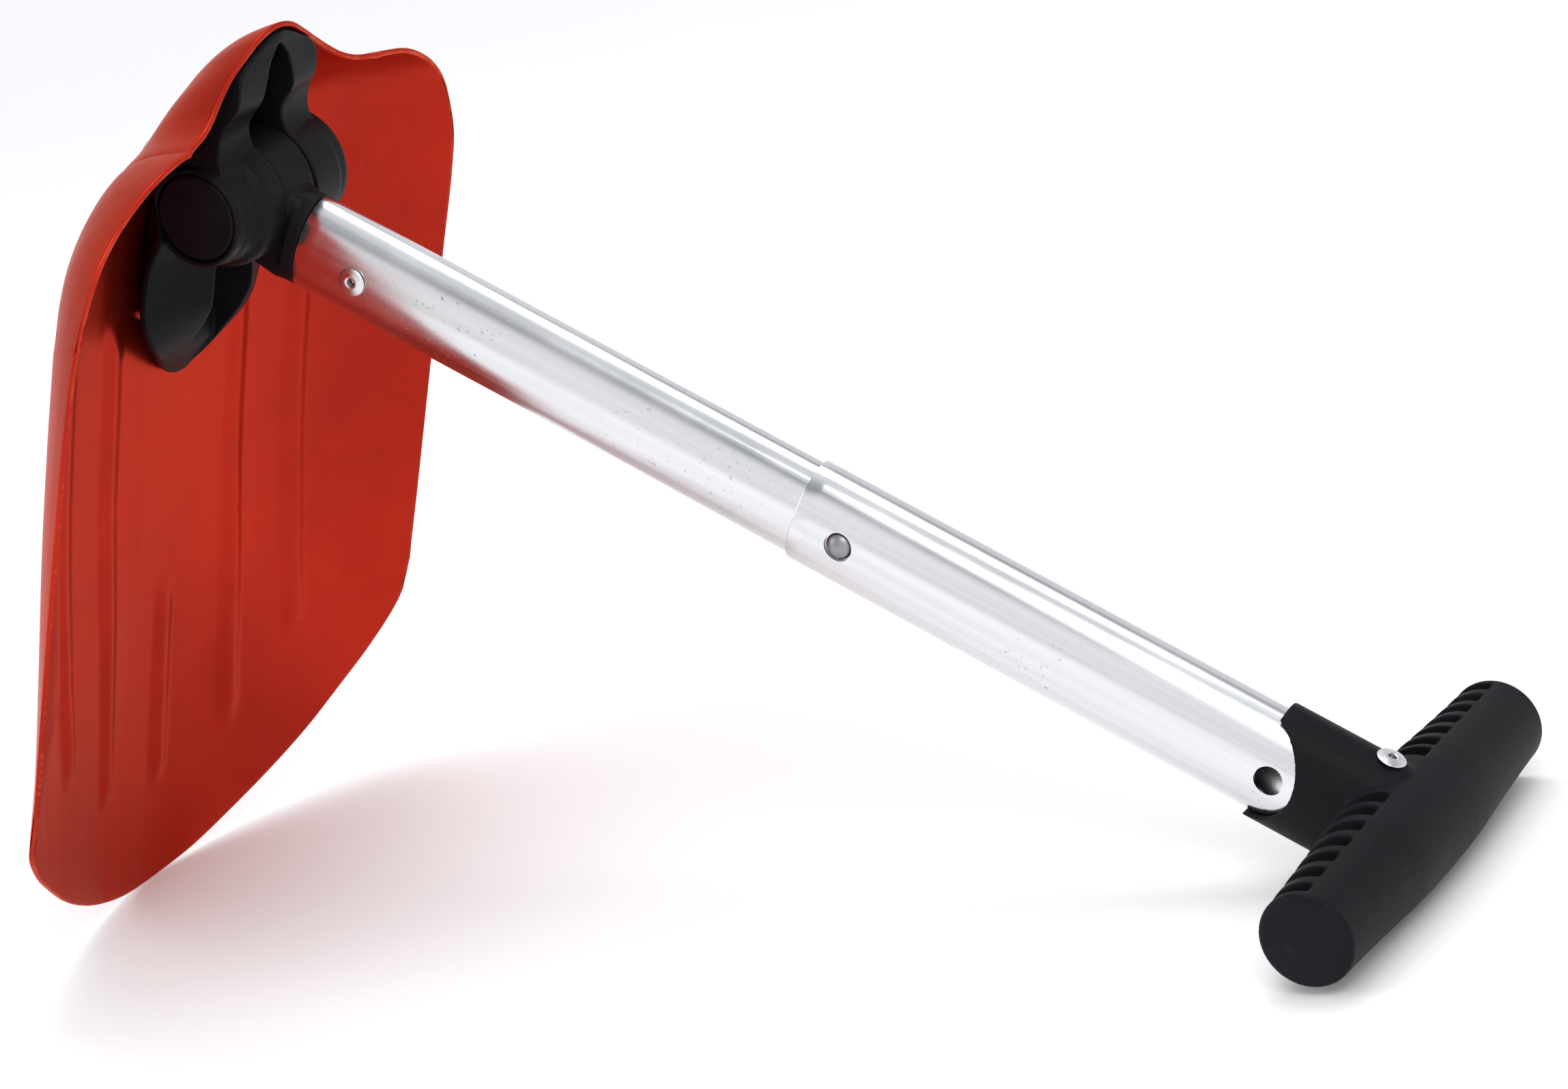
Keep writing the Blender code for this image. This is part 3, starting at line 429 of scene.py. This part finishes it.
def soften(obj, voxel=VOXEL, repeats=4):
    """Even skin with small fillets along every edge, as a moulding has."""
    remesh = obj.modifiers.new("skin", "REMESH")
    remesh.mode = "VOXEL"
    remesh.voxel_size = voxel
    smooth = obj.modifiers.new("fillets", "SMOOTH")
    smooth.factor = 0.5
    smooth.iterations = repeats
    applied(obj)
    obj.data.shade_smooth()
    return obj


def edged(obj, width, degrees=35.0, segments=2):
    """Small rounded edges on a turned or bored piece."""
    bevel = obj.modifiers.new("edges", "BEVEL")
    bevel.width = width
    bevel.segments = segments
    bevel.limit_method = "ANGLE"
    bevel.angle_limit = math.radians(degrees)
    bevel.harden_normals = False
    applied(obj)
    obj.data.shade_smooth()
    obj.data.set_sharp_from_angle(angle=math.radians(40))
    return obj


def place(obj, finish, body, slot, *nodes):
    """Give a finished piece its material and body, and hide the solids it stands for; slot is not used."""
    obj.data.transform(obj.matrix_world)
    obj.matrix_world = Matrix.Identity(4)
    obj.data.materials.clear()
    obj.data.materials.append(finish)
    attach(obj, body)
    if nodes:
        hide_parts(*nodes)
    return obj


def spread(table, steps):
    """Smooth curve through the table's rows (Catmull-Rom), in metres except the fourth column."""
    rows = np.array(table, float)
    padded = np.vstack([2 * rows[0] - rows[1], rows, 2 * rows[-1] - rows[-2]])
    out = []
    for i in range(1, len(padded) - 2):
        p0, p1, p2, p3 = padded[i - 1:i + 3]
        for t in np.arange(steps) / steps:
            out.append(0.5 * (2 * p1 + (p2 - p0) * t + (2 * p0 - 5 * p1 + 4 * p2 - p3) * t * t
                              + (3 * p1 - p0 - 3 * p2 + p3) * t ** 3))
    out.append(rows[-1])
    out = np.array(out)
    out[:, :3] *= MM
    return out


# ---------------------------------------------------------------- blade
TOP_CURVE = spread([(-9, 57.4, 8.0, 9.0)] + TOP_EDGE, 12)[12:]
SIDE_CURVE = spread(SIDE_EDGE, 12)
BOTTOM_CURVE = spread(BOTTOM_EDGE + [(-21, -271.8, -21.2, 2.2)], 12)[:-12]
RIM = np.vstack([TOP_CURVE, SIDE_CURVE[1:], BOTTOM_CURVE[1:]])
RIM_ANGLE = np.arctan2(RIM[:, 0], RIM[:, 1] - BOWL_CENTRE)
RIM_REACH = np.hypot(RIM[:, 0], RIM[:, 1] - BOWL_CENTRE)


def bowl(y, z):
    """Forward place of the blade's inner surface, without ribs."""
    angle = np.arctan2(np.abs(y), z - BOWL_CENTRE)
    reach = np.interp(angle, RIM_ANGLE, RIM_REACH)
    rise = np.interp(angle, RIM_ANGLE, RIM[:, 2]) - BLADE_FLOOR
    power = np.interp(angle, RIM_ANGLE, RIM[:, 3])
    fraction = np.hypot(y, z - BOWL_CENTRE) / reach
    return BLADE_FLOOR + rise * fraction ** power + crease(angle, fraction, reach)


def crease(angle, fraction, reach):
    """Sharp fold across the wall between the top lobe and the shoulder, fading towards the bowl's floor."""
    across = np.abs(angle - CREASE_ANGLE) * reach / CREASE_HALF
    down = np.clip((fraction - 0.80) / 0.16, 0, 1)
    return CREASE_DEPTH * np.exp(-1.6 * across) * down * down * (3 - 2 * down)


def ribs(y, z):
    """Height of the pressed ribs above the bowl."""
    height = np.zeros_like(y)
    for middle, upper, lower in RIBS:
        across = np.clip(np.abs(y - middle * MM) / RIB_HALF, 0, 1)
        along = np.clip(np.minimum(upper * MM - z, z - lower * MM) / (2.4 * RIB_HALF), 0, 1)
        height += RIB_HEIGHT * np.cos(across * math.pi / 2) ** 2 * along * along * (3 - 2 * along)
    return height


def blade_grid(columns, rows):
    """Places (y, z) over the blade: columns from side to side, rows from top to bottom."""
    a = np.linspace(-1, 1, columns)
    b = np.linspace(0, 1, rows)
    a, b = np.meshgrid(a, b)
    width = np.abs(a)
    ends = []
    for curve in (TOP_CURVE, BOTTOM_CURVE):
        order = np.argsort(curve[:, 0])
        y = width * curve[:, 0].max()
        ends.append((y, np.interp(y, curve[order, 0], curve[order, 1])))
    steps = np.linspace(0, 1, len(SIDE_CURVE))
    side = [np.interp(b, steps, SIDE_CURVE[:, i]) for i in (0, 1)]
    straight = [(1 - b) * SIDE_CURVE[0, i] + b * SIDE_CURVE[-1, i] for i in (0, 1)]
    y, z = [(1 - b) * ends[0][i] + b * ends[1][i] + width * (side[i] - straight[i]) for i in (0, 1)]
    return np.sign(a) * y, z


def mark_rim(mesh):
    """Store how near each point is to the sheet's edge, for the wear on it."""
    tree = KDTree(2 * len(RIM))
    for i, (y, z, x, _) in enumerate(RIM):
        tree.insert((x, y, z), 2 * i)
        tree.insert((x, -y, z), 2 * i + 1)
    tree.balance()
    values = [max(0.0, 1.0 - tree.find(v.co)[2] / (1.3 * MM)) for v in mesh.vertices]
    mesh.attributes.new(RIM_WEAR, "FLOAT", "POINT").data.foreach_set("value", values)


def blade_piece():
    columns, rows = ((341, 301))
    y, z = blade_grid(columns, rows)
    inner = np.stack([bowl(y, z) + ribs(y, z), y, z], -1)
    down = np.gradient(inner, axis=0)
    over = np.gradient(inner, axis=1)
    normal = np.cross(down, over)
    normal /= np.linalg.norm(normal, axis=-1, keepdims=True)
    normal *= np.sign(normal[..., :1])
    outer = inner - BLADE_SHEET * normal
    edge_in = 0.5 * MM
    loop = ([(0, j) for j in range(columns)] + [(i, columns - 1) for i in range(1, rows)]
            + [(rows - 1, j) for j in range(columns - 2, -1, -1)] + [(i, 0) for i in range(rows - 2, 0, -1)])
    pick = tuple(np.array(loop).T)
    rim = inner[pick]
    tangent = np.roll(rim, -1, 0) - np.roll(rim, 1, 0)
    outward = np.cross(tangent, normal[pick])
    outward /= np.linalg.norm(outward, axis=-1, keepdims=True)
    outward *= np.sign(np.sum(outward * (rim - inner.mean((0, 1))), -1, keepdims=True))
    middle = (inner[pick] + outer[pick]) / 2 - edge_in * outward
    arcs = []
    for theta in np.radians([60, 30, 0, -30, -60]):
        arcs.append(middle + BLADE_SHEET / 2 * math.sin(theta) * normal[pick] + edge_in * math.cos(theta) * outward)
    inner[pick] -= edge_in * outward
    outer[pick] -= edge_in * outward
    points = np.vstack([inner.reshape(-1, 3), outer.reshape(-1, 3)] + arcs)
    size = columns * rows
    faces = []
    for i in range(rows - 1):
        for j in range(columns - 1):
            k = i * columns + j
            faces.append((k, k + 1, k + columns + 1, k + columns))
            faces.append((size + k, size + k + columns, size + k + columns + 1, size + k + 1))
    index = np.array([i * columns + j for i, j in loop])
    strips = [index] + [2 * size + n * len(loop) + np.arange(len(loop)) for n in range(len(arcs))] + [size + index]
    for first, second in zip(strips, strips[1:]):
        for n in range(len(loop)):
            m = (n + 1) % len(loop)
            faces.append((int(first[n]), int(second[n]), int(second[m]), int(first[m])))
    obj = make("blade_sheet", points, faces, BLADE)
    obj.data.shade_smooth()
    mark_rim(obj.data)
    return place(obj, RED, "blade", "anodised_red", "blade")


# ---------------------------------------------------------------- bracket
def slab(name, rows, low, high, columns):
    """Closed solid over rows (height, half width), between two surfaces low and high."""
    rings = []
    for z, half in rows:
        ys = [half * t for t in columns]
        rings.append([(low(y, z, half), y, z) for y in ys] + [(high(y, z, half), y, z) for y in reversed(ys)])
    points, faces = loft(rings)
    count = len(rings[0])
    faces = faces[:-2]
    for start in (0, len(points) - count):
        for j in range(len(columns) - 1):
            k = count - 1 - j
            faces.append((start + j, start + j + 1, start + k - 1, start + k))
    obj = make(name, points, faces, BLADE)
    split = bmesh.new()
    split.from_mesh(obj.data)
    bmesh.ops.triangulate(split, faces=split.faces)
    split.to_mesh(obj.data)
    split.free()
    return obj


def dense(table):
    """Table's rows on a smooth curve, lowest first, in metres."""
    rows = [tuple(row) + (0,) * (4 - len(row)) for row in table]
    curve = spread(rows, 8)
    curve[:, 3] *= MM
    return curve[::-1]


BRACKET_CURVE = dense(BRACKET)
SLOT_CURVE = dense(SLOT)


def column(curve, z, index):
    """Value of a smooth table's column at a height."""
    return float(np.interp(z, curve[:, 0], curve[:, index]))


def bracket_face(y, z, half):
    """Front of the bracket: a crest beside the slot that falls to the outer edge."""
    crest = column(BRACKET_CURVE, z, 2)
    outer = column(BRACKET_CURVE, z, 3)
    inner = min(column(SLOT_CURVE, z, 1), 0.8 * half)
    t = max(0.0, min(1.0, (abs(y) - inner) / (half - inner)))
    return crest + (outer - crest) * t


def bracket_back(y, z, half):
    """Back of the bracket: on the bowl, but the lower lobe's edge stands free of it."""
    seat = float(bowl(y, z)) + BED
    free = column(BRACKET_CURVE, z, 3) - LIP
    rise = max(0.0, min(1.0, (abs(y) / half - 0.72) / 0.28))
    lower = max(0.0, min(1.0, (8 * MM - z) / (14 * MM)))
    return seat + max(0.0, free - seat) * rise * lower


def slot_floor(y, z, half):
    if z > 0:
        return max(SLOT_FLOOR, float(bowl(0.0, z)) + BED + BRACKET_WALL)
    ramp = np.array(RAMP)[::-1] * MM
    return float(np.interp(z, ramp[:, 0], ramp[:, 1]))


def block(low, high, matrix=BLADE):
    """Plain box between two corners."""
    rings = []
    for x in (low[0], high[0]):
        rings.append([(x, low[1], low[2]), (x, high[1], low[2]), (x, high[1], high[2]), (x, low[1], high[2])])
    points, faces = loft(rings)
    return make("block", points, faces, matrix)


def ear(profile):
    """One hub around the axle, clipped where the bracket's bed lies behind it."""
    root = 6 * MM if profile[0][1] > 0 else -6 * MM
    shape = [(8 * MM, root), (21.4 * MM, root)] + profile + [(8 * MM, profile[-1][1])]
    obj = turned("ear", rounded(shape, 1.0 * MM), BLADE)
    return carve(obj, block((-30 * MM, -40 * MM, -30 * MM), (-13 * MM, 40 * MM, 30 * MM)))


def bracket_piece():
    rows = [(float(z), float(half)) for z, half in BRACKET_CURVE[::-2, :2]]
    obj = slab("hinge_bracket_moulding", rows, bracket_back, bracket_face, np.linspace(-1, 1, 33))
    near = [(21.4, -9.4), (21.2, -16.2), (20.3, -18.5), (18.0, -19.8), (17.8, -25.8), (17.1, -26.6),
            (16.9, -30.3), (16.2, -31.4)]
    far = [(21.4, 9.4), (21.1, 15.0), (20.6, 24.6), (20.1, 25.2), (20.0, 29.4), (18.8, 31.4)]
    near, far = [[(radius * MM, y * MM) for radius, y in profile] for profile in (near, far)]
    for profile in (near, far):
        carve(obj, ear(profile), "UNION")
    slot_rows = [(float(z), float(half)) for z, half in SLOT_CURVE[::-2, :2]]
    carve(obj, slab("slot", slot_rows, slot_floor, lambda y, z, half: 60 * MM, [-1, -0.5, 0, 0.5, 1]))
    hollow = [(CHAMBER, -40 * MM), (CHAMBER, EAR_WEB_NEAR[0]), (AXLE_BORE, EAR_WEB_NEAR[0]),
              (AXLE_BORE, EAR_WEB_NEAR[1]), (CHAMBER - MM, EAR_WEB_NEAR[1]), (CHAMBER - MM, 0.0),
              (AXLE_BORE, 0.0), (AXLE_BORE, EAR_WEB_FAR), (CHAMBER, EAR_WEB_FAR), (CHAMBER, 40 * MM)]
    tool = turned("hollow", hollow, BLADE)
    tool.data.transform(Matrix.Rotation(math.radians(1), 4, "Y"))
    carve(obj, tool)
    soften(obj)
    return place(obj, BLACK, "blade", "black_nylon", "hinge_bracket")


# ---------------------------------------------------------------- hinge
def knuckle_piece():
    drop = -TUBE_DROP
    barrel = rounded([(2 * MM, -SEAM), (BARREL, -SEAM), (BARREL, SEAM), (2 * MM, SEAM)], 1.0 * MM)
    obj = turned("hinge_knuckle_moulding", barrel)
    neck = [oval(3 * MM, 8.7 * MM, 15.8 * MM, -2.5 * MM, 5.0), oval(14 * MM, 8.7 * MM, 16.0 * MM, -4.4 * MM, 4.5),
            oval(20.6 * MM, 8.7 * MM, 16.4 * MM, drop, 3.6), oval(21.8 * MM, 9.4 * MM, 16.6 * MM, drop, 2.8),
            oval(22.8 * MM, *LOWER_OUT, drop, 2.1), oval(27.3 * MM, *LOWER_OUT, drop)]
    neck += [oval(27.3 * MM, LOWER_IN[0] - GAP, LOWER_IN[1] - GAP, drop),
             oval(61.0 * MM, LOWER_IN[0] - GAP, LOWER_IN[1] - GAP, drop)]
    points, faces = loft(neck)
    carve(obj, make("neck", points, faces), "UNION")
    carve(obj, rod(13.9 * MM, (0, -20 * MM, 0), (0, 6.5 * MM, 0)))
    carve(obj, rod(AXLE_BORE, (0, -20 * MM, 0), (0, 20 * MM, 0)))
    soften(obj, repeats=4)
    return place(obj, BLACK, "shaft", "black_nylon", "hinge_knuckle")


def button_piece():
    """Round button with a shallow dish and a softly rounded edge."""
    face = BUTTON_FACE
    shell = [(0.2 * MM, face + 0.45 * MM), (6 * MM, face + 0.4 * MM), (11.6 * MM, face + 0.2 * MM),
             (BUTTON - 0.9 * MM, face), (BUTTON, face + 1.1 * MM), (BUTTON, face + 4.8 * MM),
             (BUTTON - 1.8 * MM, face + 4.8 * MM), (BUTTON - 1.8 * MM, face + 2.4 * MM), (0.2 * MM, face + 2.4 * MM)]
    obj = turned("release_button_moulding", rounded(shell, 0.7 * MM), BLADE)
    for i in range(3):
        angle = math.radians(90 + 120 * i)
        x, z = 9.5 * MM * math.cos(angle), 9.5 * MM * math.sin(angle)
        carve(obj, rod(1.6 * MM, (x, face + 1.6 * MM, z), (x, -14.5 * MM, z), BLADE, 24), "UNION")
    obj.data.shade_smooth()
    obj.data.set_sharp_from_angle(angle=math.radians(35))
    return place(obj, BLACK, "release_button", "black_nylon", "release_button")


def end_cap_piece():
    start = 28.6 * MM
    shell = [(0.2 * MM, start), (BUTTON, start), (BUTTON, start + 1.7 * MM), (BUTTON - 0.9 * MM, start + 2.5 * MM),
             (10 * MM, start + 2.3 * MM), (0.2 * MM, start + 2.2 * MM)]
    obj = turned("hinge_end_cap_moulding", rounded(shell, 0.6 * MM), BLADE)
    obj.data.shade_smooth()
    obj.data.set_sharp_from_angle(angle=math.radians(35))
    return place(obj, BLACK, "blade", "black_nylon", "hinge_end_cap")


# ---------------------------------------------------------------- tubes
def tube_mesh(name, start, end, outer, inner, dense):
    """Oval tube with rounded mouths; dense gives the places where rings lie close for a hole."""
    stations = set(np.round(np.linspace(start, end, 40), 6))
    for hole in dense:
        stations |= set(np.round(hole + np.arange(-8, 9) * 1.0 * MM, 6))
    lip = 0.35 * MM
    xs = [x for x in sorted(stations) if start + 0.6 * MM < x < end - 0.6 * MM]
    rings = [oval(start, outer[0] - lip, outer[1] - lip), oval(start + 0.3 * lip, outer[0] - 0.3 * lip, outer[1] - 0.3 * lip),
             oval(start + lip, *outer)]
    rings += [oval(x, *outer) for x in xs]
    rings += [oval(end - lip, *outer), oval(end, outer[0] - lip, outer[1] - lip)]
    rings += [oval(end, inner[0] + lip, inner[1] + lip), oval(end - lip, *inner)]
    rings += [oval(x, *inner) for x in reversed(xs)]
    rings += [oval(start + lip, *inner), oval(start, inner[0] + lip, inner[1] + lip)]
    points, faces = loft(rings, closed=True)
    return make(name, points, faces, TUBE)


def hole(obj, x, radius, far=False):
    """Round hole through the near wall, or through both."""
    carve(obj, rod(radius, (x, -30 * MM, 0), (x, 30 * MM if far else 0, 0), TUBE, 64))


def lower_tube_piece():
    obj = tube_mesh("lower_tube_drawn", TUBE_START, LOWER_END, LOWER_OUT, LOWER_IN, (LOWER_RIVET, SNAP_PLACE))
    hole(obj, LOWER_RIVET, 2.6 * MM, True)
    hole(obj, SNAP_PLACE, 4.55 * MM)
    edged(obj, 0.15 * MM, 50)
    return place(obj, BRIGHT, "shaft", "bright_aluminium", "lower_tube")


def upper_tube_piece():
    obj = tube_mesh("upper_tube_drawn", UPPER_START, UPPER_END, UPPER_OUT, UPPER_IN, (SNAP_PLACE, SNAP_PLACE + TRAVEL))
    hole(obj, SNAP_PLACE, 4.85 * MM)
    hole(obj, SNAP_PLACE + TRAVEL, 4.85 * MM)
    carve(obj, rod(2.6 * MM, (GRIP_RIVET, 0, -30 * MM), (GRIP_RIVET, 0, 30 * MM), TUBE, 48))
    edged(obj, 0.15 * MM, 50)
    return place(obj, BRIGHT_UPPER, "upper_shaft", "bright_aluminium_outer", "upper_tube")


def rivet_piece(name, matrix, length, body, node):
    """Blind rivet along +Y: dished head, drawn mandrel hole with its broken stem inside."""
    head = 4.75 * MM
    profile = [(0.15 * MM, -1.3 * MM), (0.8 * MM, -1.3 * MM), (0.85 * MM, -2.2 * MM), (1.25 * MM, -2.2 * MM),
               (1.4 * MM, 0.85 * MM), (1.75 * MM, 1.08 * MM), (2.5 * MM, 1.0 * MM), (2.9 * MM, 0.85 * MM),
               (3.9 * MM, 0.62 * MM), (4.5 * MM, 0.42 * MM), (head, 0.18 * MM), (head - 0.05 * MM, 0.0),
               (2.3 * MM, 0.0), (2.3 * MM, -length), (1.6 * MM, -length - 0.5 * MM), (0.15 * MM, -length - 0.5 * MM)]
    obj = turned(name, profile, matrix, segments=48)
    obj.data.shade_smooth()
    obj.data.set_sharp_from_angle(angle=math.radians(50))
    return place(obj, STEEL, body, "steel", node)


def rivet_pieces():
    side = LOWER_OUT[0] + GAP
    far = TUBE @ Matrix.Translation((LOWER_RIVET, side, 0))
    near = TUBE @ Matrix.Translation((LOWER_RIVET, -side, 0)) @ Matrix.Rotation(math.pi, 4, "Z")
    rivet_piece("lower_rivet_near_head", near, 6.4 * MM, "shaft", "lower_tube_rivet_near")
    rivet_piece("lower_rivet_far_head", far, 6.4 * MM, "shaft", "lower_tube_rivet_far")
    height = UPPER_OUT[1] + SOCKET_WALL + GAP
    up = TUBE @ Matrix.Translation((GRIP_RIVET, 0, height)) @ Matrix.Rotation(math.radians(90), 4, "X")
    down = TUBE @ Matrix.Translation((GRIP_RIVET, 0, -height)) @ Matrix.Rotation(math.radians(-90), 4, "X")
    rivet_piece("grip_rivet_top_head", up, 7.2 * MM, "upper_shaft", "grip_rivet_top")
    rivet_piece("grip_rivet_bottom_head", down, 7.2 * MM, "upper_shaft", "grip_rivet_bottom")


def catch_piece():
    """Domed catch standing in the tubes' first hole."""
    crown = -UPPER_OUT[0] - 0.9 * MM
    radius = 4.2 * MM
    arc = [(radius * math.sin(t), crown + 2.3 * MM * (1 - math.cos(t))) for t in np.radians(np.linspace(2, 86, 14))]
    profile = arc + [(radius, -8.2 * MM), (5.4 * MM, -8.2 * MM), (5.4 * MM, -7.2 * MM), (3.0 * MM, -7.2 * MM),
                     (3.0 * MM, -5.4 * MM), (0.1 * MM, -5.4 * MM)]
    obj = turned("snap_catch_dome", profile, TUBE @ Matrix.Translation((SNAP_PLACE, 0, 0)), segments=48)
    obj.data.shade_smooth()
    obj.data.set_sharp_from_angle(angle=math.radians(40))
    return place(obj, BUTTON_STEEL, "snap_button", "button_steel", "snap_button")


# ---------------------------------------------------------------- grip
def pocket(y, width):
    """Cutter for one finger pocket, open to the shaft side and to the top of the bar."""
    reach = 30 * MM
    x0 = GRIP_PLACE - reach
    right = GRIP_PLACE - 5.7 * MM
    outline = [(x0, -9 * MM), (GRIP_PLACE - 9 * MM, -9 * MM), (GRIP_PLACE - 9 * MM, 4 * MM),
               (right, 10 * MM), (right, reach), (x0, reach)]
    rings = [[(x, y + side * width, z + GRIP_LIFT) for x, z in outline] for side in (-0.5, 0.5)]
    points, faces = loft(rings)
    return make("pocket", points, faces, TUBE)


def grip_piece():
    half = [(y * MM, radius * MM) for y, radius in GRIP_BAR]
    tip = [(GRIP_HALF - 2.0 * MM * (1 - math.sin(t)), 15.15 * MM - 2.0 * MM * (1 - math.cos(t)))
           for t in np.radians(np.linspace(0, 90, 7))]
    profile = half + tip
    profile = [(radius, -y) for y, radius in reversed(profile[1:])] + [(radius, y) for y, radius in profile]
    obj = turned("t_grip_moulding", profile, TUBE @ Matrix.Translation((GRIP_PLACE, 0, GRIP_LIFT)))
    obj.data.transform(TUBE.inverted() @ obj.matrix_world)
    obj.matrix_world = TUBE
    for side in (-1, 1):
        for middle, width in POCKETS:
            carve(obj, pocket(side * middle * MM, width * MM))
    wall = (UPPER_OUT[0] + SOCKET_WALL, UPPER_OUT[1] + SOCKET_WALL)
    socket = [oval(SOCKET_LIP, *wall), oval(GRIP_RIVET + 5.5 * MM, *wall),
              oval(GRIP_PLACE + 4 * MM, wall[0] + 2 * MM, wall[1] - 4 * MM)]
    points, faces = loft(socket)
    carve(obj, make("socket", points, faces, TUBE), "UNION")
    hollow = (UPPER_OUT[0] + GAP, UPPER_OUT[1] + GAP)
    points, faces = loft([oval(SOCKET_LIP - 20 * MM, *hollow), oval(UPPER_END + GAP, *hollow)])
    carve(obj, make("hollow", points, faces, TUBE))
    scallop = SOCKET_THROAT - SOCKET_SCALLOP
    carve(obj, rod(SOCKET_SCALLOP, (scallop, -30 * MM, 0), (scallop, 30 * MM, 0), TUBE, 96))
    carve(obj, rod(2.6 * MM, (GRIP_RIVET, 0, -30 * MM), (GRIP_RIVET, 0, 30 * MM), TUBE))
    soften(obj, repeats=2)
    return place(obj, BLACK_GRIP, "upper_shaft", "black_grip", "t_grip")


# ---------------------------------------------------------------- solids kept, stage
def finish_solids():
    """Better materials for the solids that stay visible."""
    kept = {"hinge_axle": STEEL, "axle_nut": STEEL, "axle_washer": STEEL, "lock_ring": STEEL,
            "button_spring": SPRING_STEEL, "snap_spring": SPRING_STEEL}
    for number in range(1, 5):
        kept[f"bracket_rivet_{number}"] = STEEL
    for name, finish in kept.items():
        node = frame["nodes"][name]
        for slot in node.material_slots:
            slot.material = finish


def stage():
    """Pale floor that curves up into a wall behind the shovel."""
    bend, far, wall, half = 1.6, 3.2, 4.5, 6.0
    outline = [(-5.0, 0.0), (far - bend, 0.0)]
    for t in np.radians(np.linspace(6, 90, 15)):
        outline.append((far - bend + bend * math.sin(t), bend * (1 - math.cos(t))))
    outline.append((far, wall))
    away = -(STAND.to_3x3() @ CAMERA_BACK)
    turn = Matrix.Rotation(math.atan2(away.y, away.x), 4, "Z")
    points = [turn @ Vector((x, side, z)) for x, z in outline for side in (-half, half)]
    faces = [(2 * i, 2 * i + 1, 2 * i + 3, 2 * i + 2) for i in range(len(outline) - 1)]
    made = Finish("pale_floor", (0.86, 0.86, 0.86), 0.7)
    made.set("Base Color", made.mix(made.noise(3.0, 3.0), (0.90, 0.90, 0.90), (0.93, 0.93, 0.93)))
    obj = make("floor", points, faces, Matrix.Identity(4), made.material)
    obj.data.shade_smooth()


def lamp(name, place_m, target, width, height, power, colour=(1, 1, 1)):
    light = bpy.data.lights.new(name, "AREA")
    light.shape = "RECTANGLE"
    light.size = width
    light.size_y = height
    light.energy = power
    light.color = colour
    obj = bpy.data.objects.new(name, light)
    bpy.context.scene.collection.objects.link(obj)
    obj.location = place_m
    obj.rotation_euler = (Vector(target) - Vector(place_m)).to_track_quat("-Z", "Y").to_euler()


def studio():
    """Broad soft light from above and both sides, over an even pale surround."""
    world = bpy.data.worlds.new("studio")
    world.use_nodes = True
    nodes = world.node_tree.nodes
    links = world.node_tree.links
    split = nodes.new("ShaderNodeSeparateXYZ")
    links.new(nodes.new("ShaderNodeTexCoord").outputs["Generated"], split.inputs["Vector"])
    ramp = nodes.new("ShaderNodeValToRGB")
    for stop, tone in zip(ramp.color_ramp.elements, SKY_ENDS):
        stop.color = (*tone, 1.0)
    for position, tone in SKY_BANDS:
        ramp.color_ramp.elements.new(position).color = (*tone, 1.0)
    links.new(split.outputs["Z"], ramp.inputs["Fac"])
    links.new(ramp.outputs["Color"], nodes["Background"].inputs["Color"])
    nodes["Background"].inputs["Strength"].default_value = 1.0
    bpy.context.scene.world = world
    bpy.context.scene.view_settings.view_transform = "Standard"
    centre = (0.0, 0.0, 0.12)
    lamp("key", (1.2, -1.4, 1.9), centre, 1.4, 1.0, 20)
    lamp("front", STAND @ (CAMERA_PLACE * 1.15) + Vector((0, 0, 0.5)), centre, 1.3, 1.3, 5)
    lamp("left", (-1.9, -1.0, 1.0), centre, 1.0, 1.4, 13)
    lamp("overhead", (0.1, 0.5, 2.2), centre, 1.6, 1.0, 17)


def camera():
    place_m = STAND @ CAMERA_PLACE
    turn = STAND.to_3x3()
    right = (turn @ CAMERA_RIGHT).normalized()
    back = (turn @ CAMERA_BACK).normalized()
    up = back.cross(right).normalized()
    right = up.cross(back)
    obj = bpy.data.objects.new("camera", bpy.data.cameras.new("camera"))
    bpy.context.scene.collection.objects.link(obj)
    obj.matrix_world = Matrix.Translation(place_m) @ Matrix((right, up, back)).transposed().to_4x4()
    obj.data.sensor_width = CAMERA_SENSOR
    obj.data.lens = CAMERA_LENS
    obj.data.clip_start = 0.05
    obj.data.clip_end = 30
    bpy.context.scene.camera = obj


blade_piece()
bracket_piece()
knuckle_piece()
button_piece()
end_cap_piece()
lower_tube_piece()
upper_tube_piece()
rivet_pieces()
catch_piece()
grip_piece()
finish_solids()
stage()
studio()
camera()
